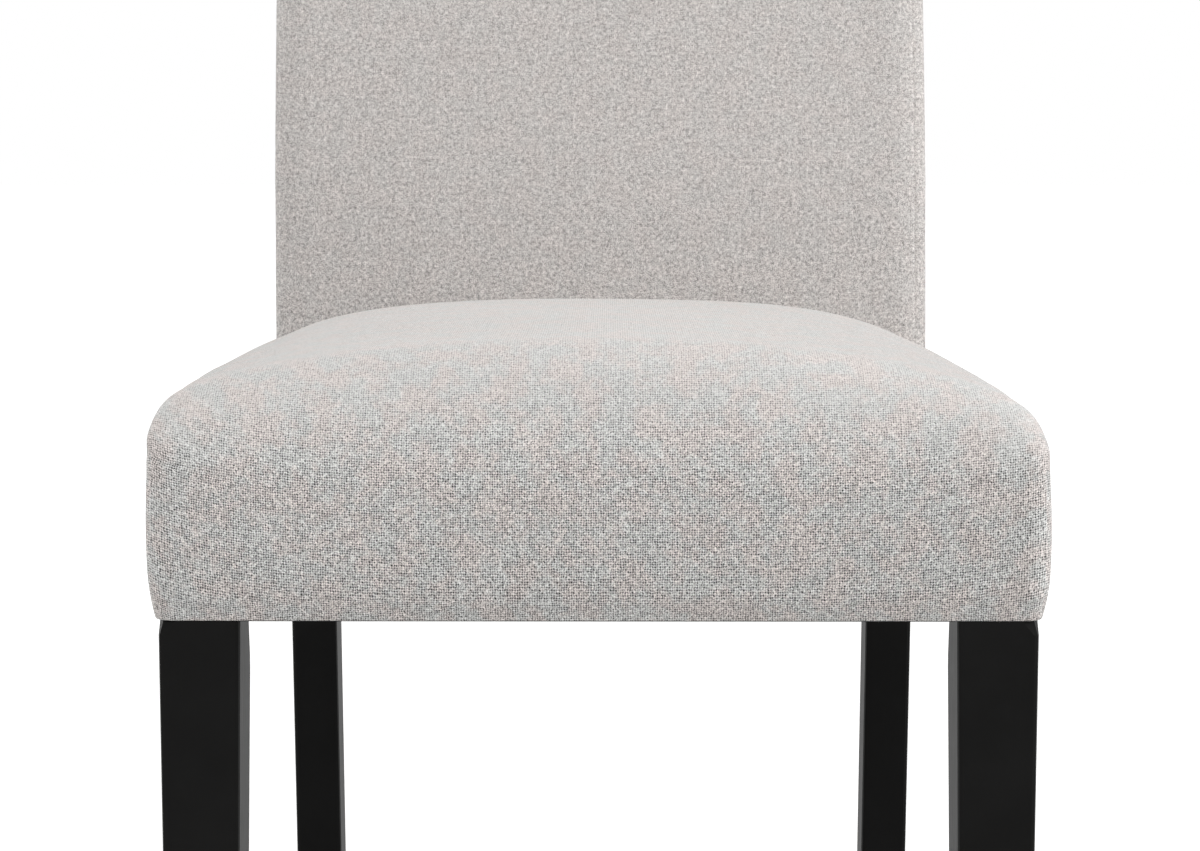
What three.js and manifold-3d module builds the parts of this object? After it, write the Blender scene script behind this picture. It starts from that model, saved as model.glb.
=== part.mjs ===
// Parsons chair: a padded seat and back over a dowelled hardwood frame.
// Millimetres, +Z up. The seat faces -Y, and left in a name is the sitter's left, at +X.
import * as THREE from 'three';
import { mergeVertices } from 'three/addons/utils/BufferGeometryUtils.js';
import Module from 'manifold-3d';

const { lerp, clamp, mapLinear, degToRad } = THREE.MathUtils;

const wasm = await Module();
wasm.setup();

// Room between pieces that touch, and how far a cut runs past a face
const gap = 0.3;
const overrun = 8;
const weldDistance = 0.0001;

// Upholstered seat, measured outside the cloth
const seatHeight = 491;
const seatCrown = 75;
const seatWallHeight = 71;
const seatRearDrop = 7;
const seatDepth = 430;
const seatFrontWidth = 484;
const frontRollDepth = 57;
const seatCornerRadius = 14;
const sideSwell = 1.5;

// Upholstered back, measured outside the cloth
const chairHeight = 990;
const backWidth = 442;
const backCrown = 5;
const backCrownFade = 90;
const backEdgeRadius = 10;
const backRearRadius = 5;
const backTopRadius = 14;
const backLift = 6.5;

// Cloth and padding
const clothThickness = 1.2;
const skirtThickness = 2.2;
const backFoamDepth = 28;
const topPadding = 6;
const flangeWidth = 20;
const panelInset = 4;
const panelDrop = 4;
const boardThickness = 3;
const dustCoverThickness = 0.8;
const dustCoverInset = 6;

// Bends of the rear posts: a raked leg below the seat, a raked stile above it
const backRake = degToRad(13.2);
const stileBendLength = 170;
const legRake = degToRad(4.8);
const legBendLength = 40;

// Legs and posts
const frontLegWidth = 44;
const frontLegFootWidth = 38;
const frontLegDepth = 40;
const frontLegCalfDepth = 48;
const frontLegCalfDrop = 35;
const frontLegFootDepth = 39.5;
const postWidth = 31.5;
const postDepth = 38;
const postFootDepth = 36;
const postTopDepth = 33;
const legEdgeRadius = 2.5;

// Seat rails, corner blocks, dowels and screws
const railThickness = 22;
const seatRailHeight = 72;
const blockHeight = 38;
const blockDrop = 14;
const blockReach = 55;
const dowelRadius = 4;
const dowelLength = 36;
const dowelEndRoom = 0.6;
const dowelChamfer = 1;
const dowelHeightShares = { lower: 0.25, upper: 0.75 };
const screwLength = 38;
const screwBite = 14;
const screwRadius = 2;
const screwHeadRadius = 4;
const screwHeadHeight = 2.6;
const screwTipLength = 4;

// Rails across the back, with their tenons
const backRailThickness = 22;
const backRailSetback = 1;
const topRailHeight = 60;
const middleRailHeight = 45;
const lowerRailHeight = 50;
const lowerRailClearance = 76.5;
const tenonLength = 18;
const tenonThickness = 10;
const tenonShoulder = 8;

// Seat webbing
const strapWidth = 50;
const strapThickness = 1.4;
const strapEndInset = 4;
const strapCount = 4;
const lengthwisePitch = 84;

// Glides under the feet
const glideHeight = 4;
const glideRadius = 11;
const glideEdge = 1.2;
const nailRadius = 1.3;
const nailLength = 16;

// Places that follow from the sizes above
const shoulderHeight = seatHeight - seatCrown;
const hemHeight = shoulderHeight - seatWallHeight;
const rearSeatHeight = seatHeight - seatRearDrop;
const wrapThickness = clothThickness + skirtThickness + 2 * gap;
const railBottom = hemHeight + clothThickness + gap;
const railTop = railBottom + seatRailHeight;
const backBottom = railTop + backLift;
const woodTop = chairHeight - clothThickness - topPadding - 2 * gap;
const footHeight = glideHeight + gap;
const postFront = seatDepth + clothThickness + backFoamDepth + 2 * gap;
const postRear = postFront + postDepth;
const rearBuildUp = boardThickness + clothThickness + 2 * gap;
const seatCoverDepth = postRear + rearBuildUp;
const panelTop = chairHeight - backTopRadius - panelDrop;
const bendTop = railTop + stileBendLength;
const strapSwing = (strapThickness + gap) / 2;
const strapMiddle = railTop + gap + strapThickness / 2;
const foamBottom = strapMiddle + strapSwing + strapThickness / 2 + gap;

const halfWidthAt = (y) =>
  lerp(seatFrontWidth / 2, backWidth / 2, y / seatCoverDepth);

// The front legs' outer corners are eased to lie inside the seat's round corners
const legCornerRadius = seatCornerRadius - wrapThickness;
const frontLegFront = wrapThickness;
const frontLegRear = frontLegFront + frontLegDepth;
const frontLegOuter = halfWidthAt(frontLegRear) - wrapThickness;
const frontLegInner = frontLegOuter - frontLegWidth;
const postOuter = backWidth / 2 - wrapThickness;
const postInner = postOuter - postWidth;
const frontRailInner = frontLegFront + railThickness;
const rearRailInner = postRear - railThickness;

const finish = (color, roughness, metalness = 0) => ({ color, roughness, metalness });
const finishes = {
  cloth: finish(0xb8b2ac, 0.95),
  paint: finish(0x161413, 0.38),
  hardwood: finish(0xc9a77b, 0.7),
  dowelWood: finish(0xd8bd92, 0.75),
  foam: finish(0xe9dfc2, 0.95),
  webbing: finish(0x5d5348, 0.9),
  board: finish(0x8a6a48, 0.85),
  backing: finish(0x1b1b1d, 0.9),
  steel: finish(0xb9b9bb, 0.35, 1),
  nylon: finish(0x242426, 0.5),
};

const chair = new THREE.Group();
chair.name = 'parsons_chair';

function addPiece(name, geometry, look) {
  const mesh = new THREE.Mesh(geometry, new THREE.MeshStandardMaterial(finishes[look]));
  mesh.name = name;
  chair.add(mesh);
}

// A pair is drawn at +X, on the sitter's left, and its twin is that drawing reflected
function addPair(name, geometry, look) {
  addPiece(`${name}_left`, geometry, look);
  addPiece(`${name}_right`, reflected(geometry), look);
}

// Welded geometry with positions only and no collapsed triangles
function welded(geometry) {
  const bare = geometry.clone();
  bare.deleteAttribute('normal');
  bare.deleteAttribute('uv');
  const merged = mergeVertices(bare, weldDistance);
  const corners = merged.index.array;
  const kept = [];
  for (let start = 0; start < corners.length; start += 3) {
    const [a, b, c] = corners.slice(start, start + 3);
    if (a !== b && b !== c && c !== a) kept.push(a, b, c);
  }
  merged.setIndex(kept);
  return merged;
}

function reflected(geometry) {
  const twin = welded(geometry).scale(-1, 1, 1);
  const corners = Array.from(twin.index.array);
  for (let start = 0; start < corners.length; start += 3) {
    [corners[start], corners[start + 1]] = [corners[start + 1], corners[start]];
  }
  twin.setIndex(corners);
  return twin;
}

function solidOf(geometry) {
  const shape = welded(geometry);
  return new wasm.Manifold(new wasm.Mesh({
    numProp: 3,
    vertProperties: new Float32Array(shape.attributes.position.array),
    triVerts: new Uint32Array(shape.index.array),
  }));
}

function geometryOf(solid) {
  const mesh = solid.getMesh();
  const geometry = new THREE.BufferGeometry();
  geometry.setAttribute('position', new THREE.BufferAttribute(mesh.vertProperties, 3));
  geometry.setIndex(Array.from(mesh.triVerts));
  return geometry;
}

function cut(geometry, ...tools) {
  return geometryOf(tools.reduce((rest, tool) => rest.subtract(solidOf(tool)), solidOf(geometry)));
}

function joined(...geometries) {
  return geometryOf(geometries.map(solidOf).reduce((whole, piece) => whole.add(piece)));
}

// Evenly spaced values from one end to the other, both included
function levels(from, to, steps) {
  return Array.from({ length: steps + 1 }, (_, step) => lerp(from, to, step / steps));
}

// Skin over rings of equal count, lowest first, each anticlockwise from above;
// the top closes flat, or on an apex where one is given
function loft(rings, apex) {
  const count = rings[0].length;
  const points = rings.flat();
  const faces = [];
  for (let level = 0; level < rings.length - 1; level++) {
    for (let step = 0; step < count; step++) {
      const low = level * count + step;
      const nextLow = level * count + (step + 1) % count;
      faces.push(low, nextLow, nextLow + count, low, nextLow + count, low + count);
    }
  }
  const lid = THREE.ShapeUtils.triangulateShape(rings[0].map(({ x, y }) => new THREE.Vector2(x, y)), []);
  const top = (rings.length - 1) * count;
  lid.forEach(([a, b, c]) => faces.push(c, b, a));
  if (apex) {
    points.push(apex);
    for (let step = 0; step < count; step++) {
      faces.push(top + step, top + (step + 1) % count, points.length - 1);
    }
  } else {
    lid.forEach(([a, b, c]) => faces.push(top + a, top + b, top + c));
  }
  const geometry = new THREE.BufferGeometry().setFromPoints(points);
  geometry.setIndex(faces);
  return geometry;
}

// Upright prism over a plan outline of [x, y] corners
function prism(outline, low, high) {
  const shape = new THREE.Shape(outline.map(([x, y]) => new THREE.Vector2(x, y)));
  const geometry = new THREE.ExtrudeGeometry(shape, { depth: high - low, bevelEnabled: false });
  return geometry.translate(0, 0, low);
}

function block(xLow, xHigh, yLow, yHigh, zLow, zHigh) {
  return prism([[xLow, yLow], [xHigh, yLow], [xHigh, yHigh], [xLow, yHigh]], zLow, zHigh);
}

// Ring of a rectangle with rounded corners at one height; the outer front corner has its own radius
function roundedRing(xLow, xHigh, yLow, yHigh, z, edgeRadius, outerFrontRadius = edgeRadius, steps = 2) {
  const corners = [[xHigh, yLow], [xHigh, yHigh], [xLow, yHigh], [xLow, yLow]];
  const quarter = Math.PI / 2;
  return corners.flatMap(([x, y], index) => {
    const radius = index === 0 ? outerFrontRadius : edgeRadius;
    const centreX = x + Math.sign(xLow + xHigh - 2 * x) * radius;
    const centreY = y + Math.sign(yLow + yHigh - 2 * y) * radius;
    return levels((index - 1) * quarter, index * quarter, steps).map((angle) => (
      new THREE.Vector3(centreX + radius * Math.cos(angle), centreY + radius * Math.sin(angle), z)
    ));
  });
}

// Turned shape along a direction: profile of [radius, distance] from the axis back to the axis
function turned(profile, place, direction, sides) {
  const points = profile.map(([radius, distance]) => new THREE.Vector2(radius, distance));
  const geometry = new THREE.LatheGeometry(points, sides);
  const turn = new THREE.Quaternion().setFromUnitVectors(new THREE.Vector3(0, 1, 0), direction);
  return geometry.applyQuaternion(turn).translate(place.x, place.y, place.z);
}

// How far a bent member has moved back at a height above, or depth below, the start of its bend
function sweep(rise, bendLength, angle) {
  const slope = Math.tan(angle);
  return rise < bendLength ? slope * rise * rise / (2 * bendLength) : slope * (rise - bendLength / 2);
}

// Front and rear faces of the rear post at any height
function postFrontAt(z) {
  if (z > railTop) return postFront + sweep(z - railTop, stileBendLength, backRake);
  return postFront + sweep(Math.max(hemHeight - z, 0), legBendLength, legRake);
}

function postDepthAt(z) {
  if (z > railTop) return mapLinear(z, railTop, woodTop, postDepth, postTopDepth);
  return mapLinear(Math.min(z, hemHeight), footHeight, hemHeight, postFootDepth, postDepth);
}

const postRearAt = (z) => postFrontAt(z) + postDepthAt(z);
const backFrontAt = (z) => postFrontAt(z) - backFoamDepth - clothThickness - 2 * gap;
const backRearAt = (z) => postRearAt(z) + rearBuildUp;

const bendLevels = levels(railTop, bendTop, 6);
const stileLevels = (top) => [...bendLevels, ...levels(bendTop, top, 3).slice(1)];

// Skin between two heights of the back's curve, with a front and a rear face given by formula
function curvedSlab(halfWidth, heights, frontAt, rearAt) {
  return loft(heights.map((z) => [
    new THREE.Vector3(-halfWidth, frontAt(z), z),
    new THREE.Vector3(halfWidth, frontAt(z), z),
    new THREE.Vector3(halfWidth, rearAt(z), z),
    new THREE.Vector3(-halfWidth, rearAt(z), z),
  ]));
}

// Half of the seat's plan outline from the middle of its front to the middle of its rear.
// Along each corner the half width is drawn in by a quarter circle's fall
function halfOutline(inset) {
  const rearEdge = seatCoverDepth - inset;
  const frontRadius = Math.max(seatCornerRadius - inset, gap);
  const rearRadius = Math.max(backRearRadius - inset, gap);
  const edgeAt = (y) => halfWidthAt(y) - inset;
  const frontReach = edgeAt(inset) - frontRadius;
  const rearReach = edgeAt(rearEdge) - rearRadius;
  const front = levels(0, frontReach, 4).slice(0, -1).map((x) => [x, inset]);
  const frontCorner = levels(Math.PI / 2, 0, 4).map((angle) => {
    const y = inset + frontRadius * (1 - Math.sin(angle));
    return [edgeAt(y) - frontRadius * (1 - Math.cos(angle)), y];
  });
  const side = levels(inset + frontRadius, rearEdge - rearRadius, 7).slice(1, -1).map((y) => [edgeAt(y), y]);
  const rearCorner = levels(0, Math.PI / 2, 2).map((angle) => {
    const y = rearEdge - rearRadius * (1 - Math.sin(angle));
    return [edgeAt(y) - rearRadius * (1 - Math.cos(angle)), y];
  });
  const rear = levels(rearReach, 0, 2).slice(1).map((x) => [x, rearEdge]);
  return [...front, ...frontCorner, ...side, ...rearCorner, ...rear];
}

function seatOutline(inset) {
  const half = halfOutline(inset);
  const twin = half.slice(1, -1).reverse().map(([x, y]) => [-x, y]);
  return [...half, ...twin].map(([x, y]) => new THREE.Vector2(x, y));
}

// Crown of the seat over its shoulder line: a superellipse across the width times a short
// superellipse roll behind the front edge. Inside a rounded front corner the point is first
// pushed out along its own ray, as a disc is pushed out to its square, so that the corner's
// edge lies at the shoulder too
function seatTopAt(x, y) {
  const acrossPower = 2;
  const acrossRoot = 4.4;
  const rollPower = 2;
  const rollRoot = 1.65;
  const half = halfWidthAt(y);
  let fromSide = half - Math.abs(x);
  let fromFront = y;
  if (fromSide < seatCornerRadius && fromFront < seatCornerRadius) {
    const sideways = 1 - fromSide / seatCornerRadius;
    const forwards = 1 - fromFront / seatCornerRadius;
    const push = Math.hypot(sideways, forwards) / Math.max(sideways, forwards);
    fromSide = seatCornerRadius * (1 - sideways * push);
    fromFront = seatCornerRadius * (1 - forwards * push);
  }
  const across = clamp(1 - fromSide / half, 0, 1);
  const ahead = clamp(1 - fromFront / frontRollDepth, 0, 1);
  const fall = Math.max(0, y / seatDepth);
  const crown = lerp(seatHeight, rearSeatHeight, fall * fall) - shoulderHeight;
  const arch = (1 - across ** acrossPower) ** (1 / acrossRoot);
  const roll = (1 - ahead ** rollPower) ** (1 / rollRoot);
  return shoulderHeight + crown * arch * roll;
}

// Closed form of the seat: walls from the hem to the shoulder, then rings in to the crown
function seatForm(inset) {
  const wallShares = [0, 0.22, 0.55, 1];
  const ringShares = [1, 0.99, 0.968, 0.925, 0.85, 0.7, 0.42];
  const outer = seatOutline(0);
  const outline = seatOutline(inset);
  const middle = new THREE.Vector2(0, seatCoverDepth / 2);
  const outward = outer.map((_, index) => {
    const ahead = outer[(index + 1) % outer.length];
    const behind = outer[(index + outer.length - 1) % outer.length];
    return new THREE.Vector2(ahead.y - behind.y, behind.x - ahead.x).normalize();
  });
  const walls = wallShares.slice(0, -1).map((share) => outline.map((point, index) => {
    const swell = sideSwell * Math.sin(Math.PI * share);
    const top = seatTopAt(outer[index].x, outer[index].y) - inset;
    const { x, y } = point.clone().addScaledVector(outward[index], swell);
    return new THREE.Vector3(x, y, lerp(hemHeight + inset, top, share));
  }));
  const crown = ringShares.map((share) => outline.map((point, index) => {
    const sample = middle.clone().lerp(outer[index], share);
    const { x, y } = middle.clone().lerp(point, share);
    return new THREE.Vector3(x, y, seatTopAt(sample.x, sample.y) - inset);
  }));
  const apex = new THREE.Vector3(middle.x, middle.y, seatTopAt(middle.x, middle.y) - inset);
  return loft([...walls, ...crown], apex);
}

// One ring of the back's padding: crowned front edge between rounded corners
function backRing(z, inset, sampleHeight) {
  const half = backWidth / 2 - inset;
  const frontRadius = Math.max(backEdgeRadius - inset, gap);
  const rearRadius = Math.max(backRearRadius - inset, gap);
  const front = backFrontAt(sampleHeight) + inset;
  const rear = backRearAt(sampleHeight) - inset;
  const crown = backCrown * Math.min(1, (chairHeight - z) / backCrownFade);
  const point = (x, y) => new THREE.Vector3(x, y, z);
  const frontEdge = levels(-1, 1, 8).slice(1, -1).map((share) =>
    point(share * (half - frontRadius), front - crown * (1 - share * share)));
  const corner = (side, edge, radius, start, steps) => {
    const centre = side * (half - radius);
    const angles = levels(start, start + Math.PI / 2, steps);
    return angles.map((angle) => point(centre + radius * Math.cos(angle), edge + radius * Math.sin(angle)));
  };
  return [
    ...frontEdge,
    ...corner(1, front + frontRadius, frontRadius, -Math.PI / 2, 3),
    ...corner(1, rear - rearRadius, rearRadius, 0, 2),
    ...corner(-1, rear - rearRadius, rearRadius, Math.PI / 2, 2),
    ...corner(-1, front + frontRadius, frontRadius, Math.PI, 3),
  ];
}

// Closed form of the back: the curved sections, then a quarter-round over the top
function backForm(inset) {
  const roundStart = chairHeight - backTopRadius;
  const heights = [backBottom + inset, ...stileLevels(roundStart).slice(1)];
  const body = heights.map((z) => backRing(z, inset, z));
  const rounded = levels(0, Math.PI / 2, 3).slice(1).map((angle) => {
    const drawnIn = (backTopRadius - inset) * (1 - Math.cos(angle));
    return backRing(roundStart + (backTopRadius - inset) * Math.sin(angle), inset + drawnIn, roundStart);
  });
  return loft([...body, ...rounded]);
}

// Front leg: straight outside, drawn in under the hem, fullest just below it, then tapered
function frontLeg() {
  const calfHeight = hemHeight - frontLegCalfDrop;
  const waistShares = [0, 0.25, 0.5, 0.75, 1];
  const depthAt = (z) => {
    if (z < calfHeight) return mapLinear(z, footHeight, calfHeight, frontLegFootDepth, frontLegCalfDepth);
    const share = clamp((z - calfHeight) / frontLegCalfDrop, 0, 1);
    return lerp(frontLegCalfDepth, frontLegDepth, share * share * (3 - 2 * share));
  };
  const widthAt = (z) => {
    const share = Math.min(1, (z - footHeight) / (hemHeight - footHeight));
    return lerp(frontLegFootWidth, frontLegWidth, share);
  };
  const waist = waistShares.map((share) => calfHeight + share * frontLegCalfDrop);
  const heights = [footHeight, ...waist, railTop];
  const cornerAt = (z) => (z < hemHeight ? legEdgeRadius : legCornerRadius);
  return loft(heights.map((z) => roundedRing(
    frontLegOuter - widthAt(z), frontLegOuter,
    frontLegFront, frontLegFront + depthAt(z), z, legEdgeRadius, cornerAt(z),
  )));
}

// Rear post: raked leg and bent back stile in one piece
function rearPost() {
  const bendBottom = hemHeight - legBendLength;
  const heights = [footHeight, ...levels(bendBottom, hemHeight, 3), ...stileLevels(woodTop)];
  const ringAt = (z) => roundedRing(postInner, postOuter, postFrontAt(z), postRearAt(z), z, legEdgeRadius);
  return loft(heights.map(ringAt));
}

// Faces of the side rail, which runs along the seat's side from the front leg to the rear post
const sideRailOuterAt = (y) => halfWidthAt(y) - wrapThickness;
const sideRailInnerAt = (y) => sideRailOuterAt(y) - railThickness;

function sideRail() {
  const front = frontLegRear + gap;
  const rear = postFront - gap;
  return prism([
    [sideRailOuterAt(front), front], [sideRailOuterAt(rear), rear],
    [sideRailInnerAt(rear), rear], [sideRailInnerAt(front), front],
  ], railBottom, railTop);
}

// Block glued across an inner corner, notched round the leg or post.
// The end rail's face and the leg's corner are given, with the way that leads to the seat's middle
function cornerBlock(endRailFace, legSide, legFace, inwards) {
  const end = endRailFace + inwards * gap;
  const side = legSide - gap;
  const notch = legFace + inwards * gap;
  const far = notch + inwards * blockReach;
  const top = railTop - blockDrop;
  const outline = [
    [side, end], [side, notch], [sideRailInnerAt(notch) - gap, notch],
    [sideRailInnerAt(far) - gap, far], [side - blockReach, end],
  ];
  return prism(inwards > 0 ? outline : outline.reverse(), top - blockHeight, top);
}

// Dowel and its bore: the bore is wider by the gap and deeper by the end room
function dowel(place, direction, room = 0, endRoom = 0) {
  const radius = dowelRadius + room;
  const half = dowelLength / 2 + endRoom;
  const profile = [
    [0, -half], [radius - dowelChamfer, -half], [radius, dowelChamfer - half],
    [radius, half - dowelChamfer], [radius - dowelChamfer, half], [0, half],
  ];
  return turned(profile, place, direction, 8);
}

const dowelBore = (joint) => dowel(joint.place, joint.direction, gap, dowelEndRoom);

// Dowelled joints on the +X half of the seat frame
const alongX = new THREE.Vector3(1, 0, 0);
const alongY = new THREE.Vector3(0, 1, 0);
const alongZ = new THREE.Vector3(0, 0, 1);
const halfRail = railThickness / 2;
const dowelRows = [
  { rail: 'front', end: 'leg', x: frontLegInner, y: frontLegFront + halfRail, direction: alongX },
  { rail: 'rear', end: 'post', x: postInner, y: postRear - halfRail, direction: alongX },
  { rail: 'side', end: 'leg', x: frontLegOuter - halfRail, y: frontLegRear, direction: alongY },
  { rail: 'side', end: 'post', x: postOuter - halfRail, y: postFront, direction: alongY },
];
const dowelJoints = Object.entries(dowelHeightShares).flatMap(([level, share]) => dowelRows.map((row) => (
  { ...row, level, place: new THREE.Vector3(row.x, row.y, railBottom + seatRailHeight * share) }
)));

const boresWhere = (key, value) => dowelJoints.filter((joint) => joint[key] === value).map(dowelBore);

// Wood screw through a corner block: distance runs from the rail's face into the rail
function screw(spot) {
  const head = screwBite - screwLength;
  const profile = [
    [0, head], [screwHeadRadius, head], [screwRadius, head + screwHeadHeight],
    [screwRadius, screwBite - screwTipLength], [0, screwBite],
  ];
  return turned(profile, spot.place, spot.direction, 8);
}

// Pilot hole and counterbore for that screw, open on the block's long face
function screwBore(spot) {
  const head = screwBite - screwLength - gap;
  const headRoom = screwHeadRadius + gap;
  const shankRoom = screwRadius + gap;
  const profile = [
    [0, head - blockReach], [headRoom, head - blockReach], [headRoom, head + gap],
    [shankRoom, head + screwHeadHeight + gap], [shankRoom, screwBite - screwTipLength],
    [0, screwBite + screwRadius],
  ];
  return turned(profile, spot.place, spot.direction, 8);
}

// Two screws for each block: one into the end rail, one into the side rail
function screwSpots(endRailFace, legSide, legFace, inwards) {
  const z = railTop - blockDrop - blockHeight / 2;
  const across = legSide - blockReach / 2;
  const along = legFace + inwards * blockReach / 2;
  const intoEndRail = alongY.clone().multiplyScalar(-inwards);
  return {
    end: { place: new THREE.Vector3(across, endRailFace, z), direction: intoEndRail },
    side: { place: new THREE.Vector3(sideRailInnerAt(along), along, z), direction: alongX },
  };
}

const cornerSizes = {
  front: [frontRailInner, frontLegInner, frontLegRear, 1],
  rear: [rearRailInner, postInner, postFront, -1],
};
const screwsAt = {
  front: screwSpots(...cornerSizes.front),
  rear: screwSpots(...cornerSizes.rear),
};

// Rail between the back's stiles, tilted with them, and a tenon at each end
function tilted(shape, centre, height) {
  const lean = postFrontAt(centre + height / 2) - postFrontAt(centre - height / 2);
  const tilt = Math.atan(lean / height);
  const middle = postFrontAt(centre) + backRailSetback + backRailThickness / 2 / Math.cos(tilt);
  return shape.rotateX(-tilt).translate(0, middle, centre);
}

// Both tenons in one bar, which the mortises follow with more room
function tenonBar(height, room = 0) {
  const length = 2 * (postInner + tenonLength + room);
  return new THREE.BoxGeometry(length, tenonThickness + 2 * room, height - 2 * tenonShoulder + 2 * room);
}

function backRail(centre, height) {
  const bar = new THREE.BoxGeometry(2 * (postInner - gap), backRailThickness, height);
  return tilted(joined(bar, tenonBar(height)), centre, height);
}

const mortise = (centre, height) => tilted(tenonBar(height, gap), centre, height);

const topRailReach = (backRailThickness * Math.sin(backRake) + topRailHeight * Math.cos(backRake)) / 2;
const topRailCentre = woodTop - topRailReach;
const lowerRailCentre = railTop + lowerRailClearance + lowerRailHeight / 2;
const backRails = {
  top: [topRailCentre, topRailHeight],
  middle: [(topRailCentre + lowerRailCentre) / 2, middleRailHeight],
  lower: [lowerRailCentre, lowerRailHeight],
};

// Glide: a domed pad on a nail that is driven into the foot
function glide(x, y) {
  const flat = glideRadius - glideEdge;
  const tip = glideHeight + nailLength;
  const profile = [
    [0, 0], [flat, 0], [glideRadius, glideEdge], [glideRadius, glideHeight - glideEdge], [flat, glideHeight],
    [nailRadius, glideHeight], [nailRadius, tip - 2 * nailRadius], [0, tip],
  ];
  return turned(profile, new THREE.Vector3(x, y, 0), alongZ, 12);
}

function nailBore(x, y) {
  const radius = nailRadius + gap;
  const top = glideHeight + nailLength + gap;
  return turned([[0, 0], [radius, 0], [radius, top], [0, top]], new THREE.Vector3(x, y, 0), alongZ, 8);
}

const frontFoot = [frontLegOuter - frontLegFootWidth / 2, frontLegFront + frontLegFootDepth / 2];
const rearFoot = [postOuter - postWidth / 2, postFrontAt(footHeight) + postFootDepth / 2];

// Woven strap: it lies flat where it crosses the others, over one and under the next,
// and flat on the rail at each end
function strap(from, to, firstCrossing, pitch, startSign) {
  const flat = strapWidth / 2 + 2 * gap;
  const stops = [[from, 0], [from + railThickness, 0]];
  for (let crossing = 0; crossing < strapCount; crossing++) {
    const centre = firstCrossing + pitch * crossing;
    const height = startSign * strapSwing * (crossing % 2 ? -1 : 1);
    stops.push([centre - flat, height], [centre + flat, height]);
  }
  stops.push([to - railThickness, 0], [to, 0]);
  const half = strapWidth / 2;
  const rings = stops.map(([distance, height]) => {
    const low = height - strapThickness / 2;
    const high = height + strapThickness / 2;
    return [
      new THREE.Vector3(-half, -low, distance), new THREE.Vector3(-half, -high, distance),
      new THREE.Vector3(half, -high, distance), new THREE.Vector3(half, -low, distance),
    ];
  });
  return loft(rings).rotateX(-Math.PI / 2).translate(0, 0, strapMiddle);
}

const firstAcross = -lengthwisePitch * (strapCount - 1) / 2;
const crossPitch = (postFront - frontLegRear) / (strapCount + 0.36);
const firstCross = (frontLegRear + postFront - crossPitch * (strapCount - 1)) / 2;

function addWebbing() {
  for (let index = 0; index < strapCount; index++) {
    const sign = index % 2 ? -1 : 1;
    const x = firstAcross + lengthwisePitch * index;
    const front = frontLegFront + strapEndInset;
    const rear = postRear - strapEndInset;
    const lengthwise = strap(front, rear, firstCross, crossPitch, sign).translate(x, 0, 0);
    addPiece(`webbing_lengthwise_${index + 1}`, lengthwise, 'webbing');
    const y = firstCross + crossPitch * index;
    const reach = sideRailOuterAt(y + strapWidth / 2) - strapEndInset;
    const crosswise = strap(-reach, reach, firstAcross, lengthwisePitch, -sign).rotateZ(-Math.PI / 2);
    addPiece(`webbing_crosswise_${index + 1}`, crosswise.translate(0, y, 0), 'webbing');
  }
}

// Section of the rear post where it stands in the seat, grown by the gap
function postRoom(top) {
  return block(postInner - gap, postOuter + gap, postFront - gap, postRear + gap, hemHeight - overrun, top);
}

// Room for the wooden frame inside the seat's foam, open below
function frameRoom() {
  const outline = seatOutline(wrapThickness - gap).map(({ x, y }) => [x, y]);
  const post = postRoom(railTop);
  return joined(prism(outline, hemHeight - overrun, foamBottom), post, reflected(post));
}

// Everything behind one depth and above one height, as a tool that cuts
function allBehind(depth, height = 0) {
  return block(-seatFrontWidth, seatFrontWidth, depth, 2 * seatCoverDepth, height, chairHeight);
}

function seatFoam() {
  const behindSeat = allBehind(seatDepth - gap, railTop);
  const behindBoard = allBehind(postRear);
  return cut(seatForm(clothThickness + gap), frameRoom(), backForm(-gap), behindSeat, behindBoard);
}

// Openings in the seat's cover for the legs and posts
function legRoom() {
  const leg = loft([hemHeight - overrun, railBottom].map((z) => roundedRing(
    frontLegInner - gap, frontLegOuter + gap, frontLegFront - gap, frontLegRear + gap, z,
    legEdgeRadius, legCornerRadius + gap,
  )));
  const post = postRoom(railBottom);
  return [leg, post, reflected(leg), reflected(post)];
}

const panelHalf = postOuter - panelInset;
const panelRearAt = (z) => backRearAt(Math.max(z, railTop));

// Window in the covers for the outside back, wider than that panel by the gap
function panelWindow() {
  const heights = [hemHeight - overrun, ...stileLevels(panelTop + gap)];
  const inside = (z) => panelRearAt(z) - clothThickness - gap;
  const window = curvedSlab(panelHalf + gap, heights, inside, (z) => panelRearAt(z) + overrun);
  const low = hemHeight - overrun;
  return joined(window, block(-postInner, postInner, postFront - gap, seatCoverDepth, low, railBottom));
}

function seatCover() {
  const opening = seatOutline(flangeWidth).map(({ x, y }) => [x, y]);
  const tailInside = (y) => halfWidthAt(y) - clothThickness;
  const tailEnd = seatCoverDepth - clothThickness;
  const tailRoom = prism([
    [-tailInside(seatDepth), seatDepth], [tailInside(seatDepth), seatDepth],
    [tailInside(tailEnd), tailEnd], [-tailInside(tailEnd), tailEnd],
  ], railBottom, chairHeight);
  return cut(seatForm(0), seatForm(clothThickness), prism(opening, hemHeight - overrun, railBottom),
    tailRoom, backForm(-gap), panelWindow(), ...legRoom());
}

function backFoam() {
  const heights = [hemHeight, ...stileLevels(woodTop + gap)];
  const woodFront = (z) => postFrontAt(Math.max(z, railTop)) - gap;
  const frame = curvedSlab(postOuter + gap, heights, woodFront, () => 2 * seatCoverDepth);
  return cut(backForm(clothThickness + gap), frame);
}

function backCover() {
  const half = backWidth / 2 - clothThickness;
  const front = seatDepth + clothThickness;
  const rear = seatCoverDepth - clothThickness;
  const openBottom = block(-half, half, front, rear, hemHeight, backBottom + 2 * overrun);
  return cut(backForm(0), backForm(clothThickness), openBottom, panelWindow());
}

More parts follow.
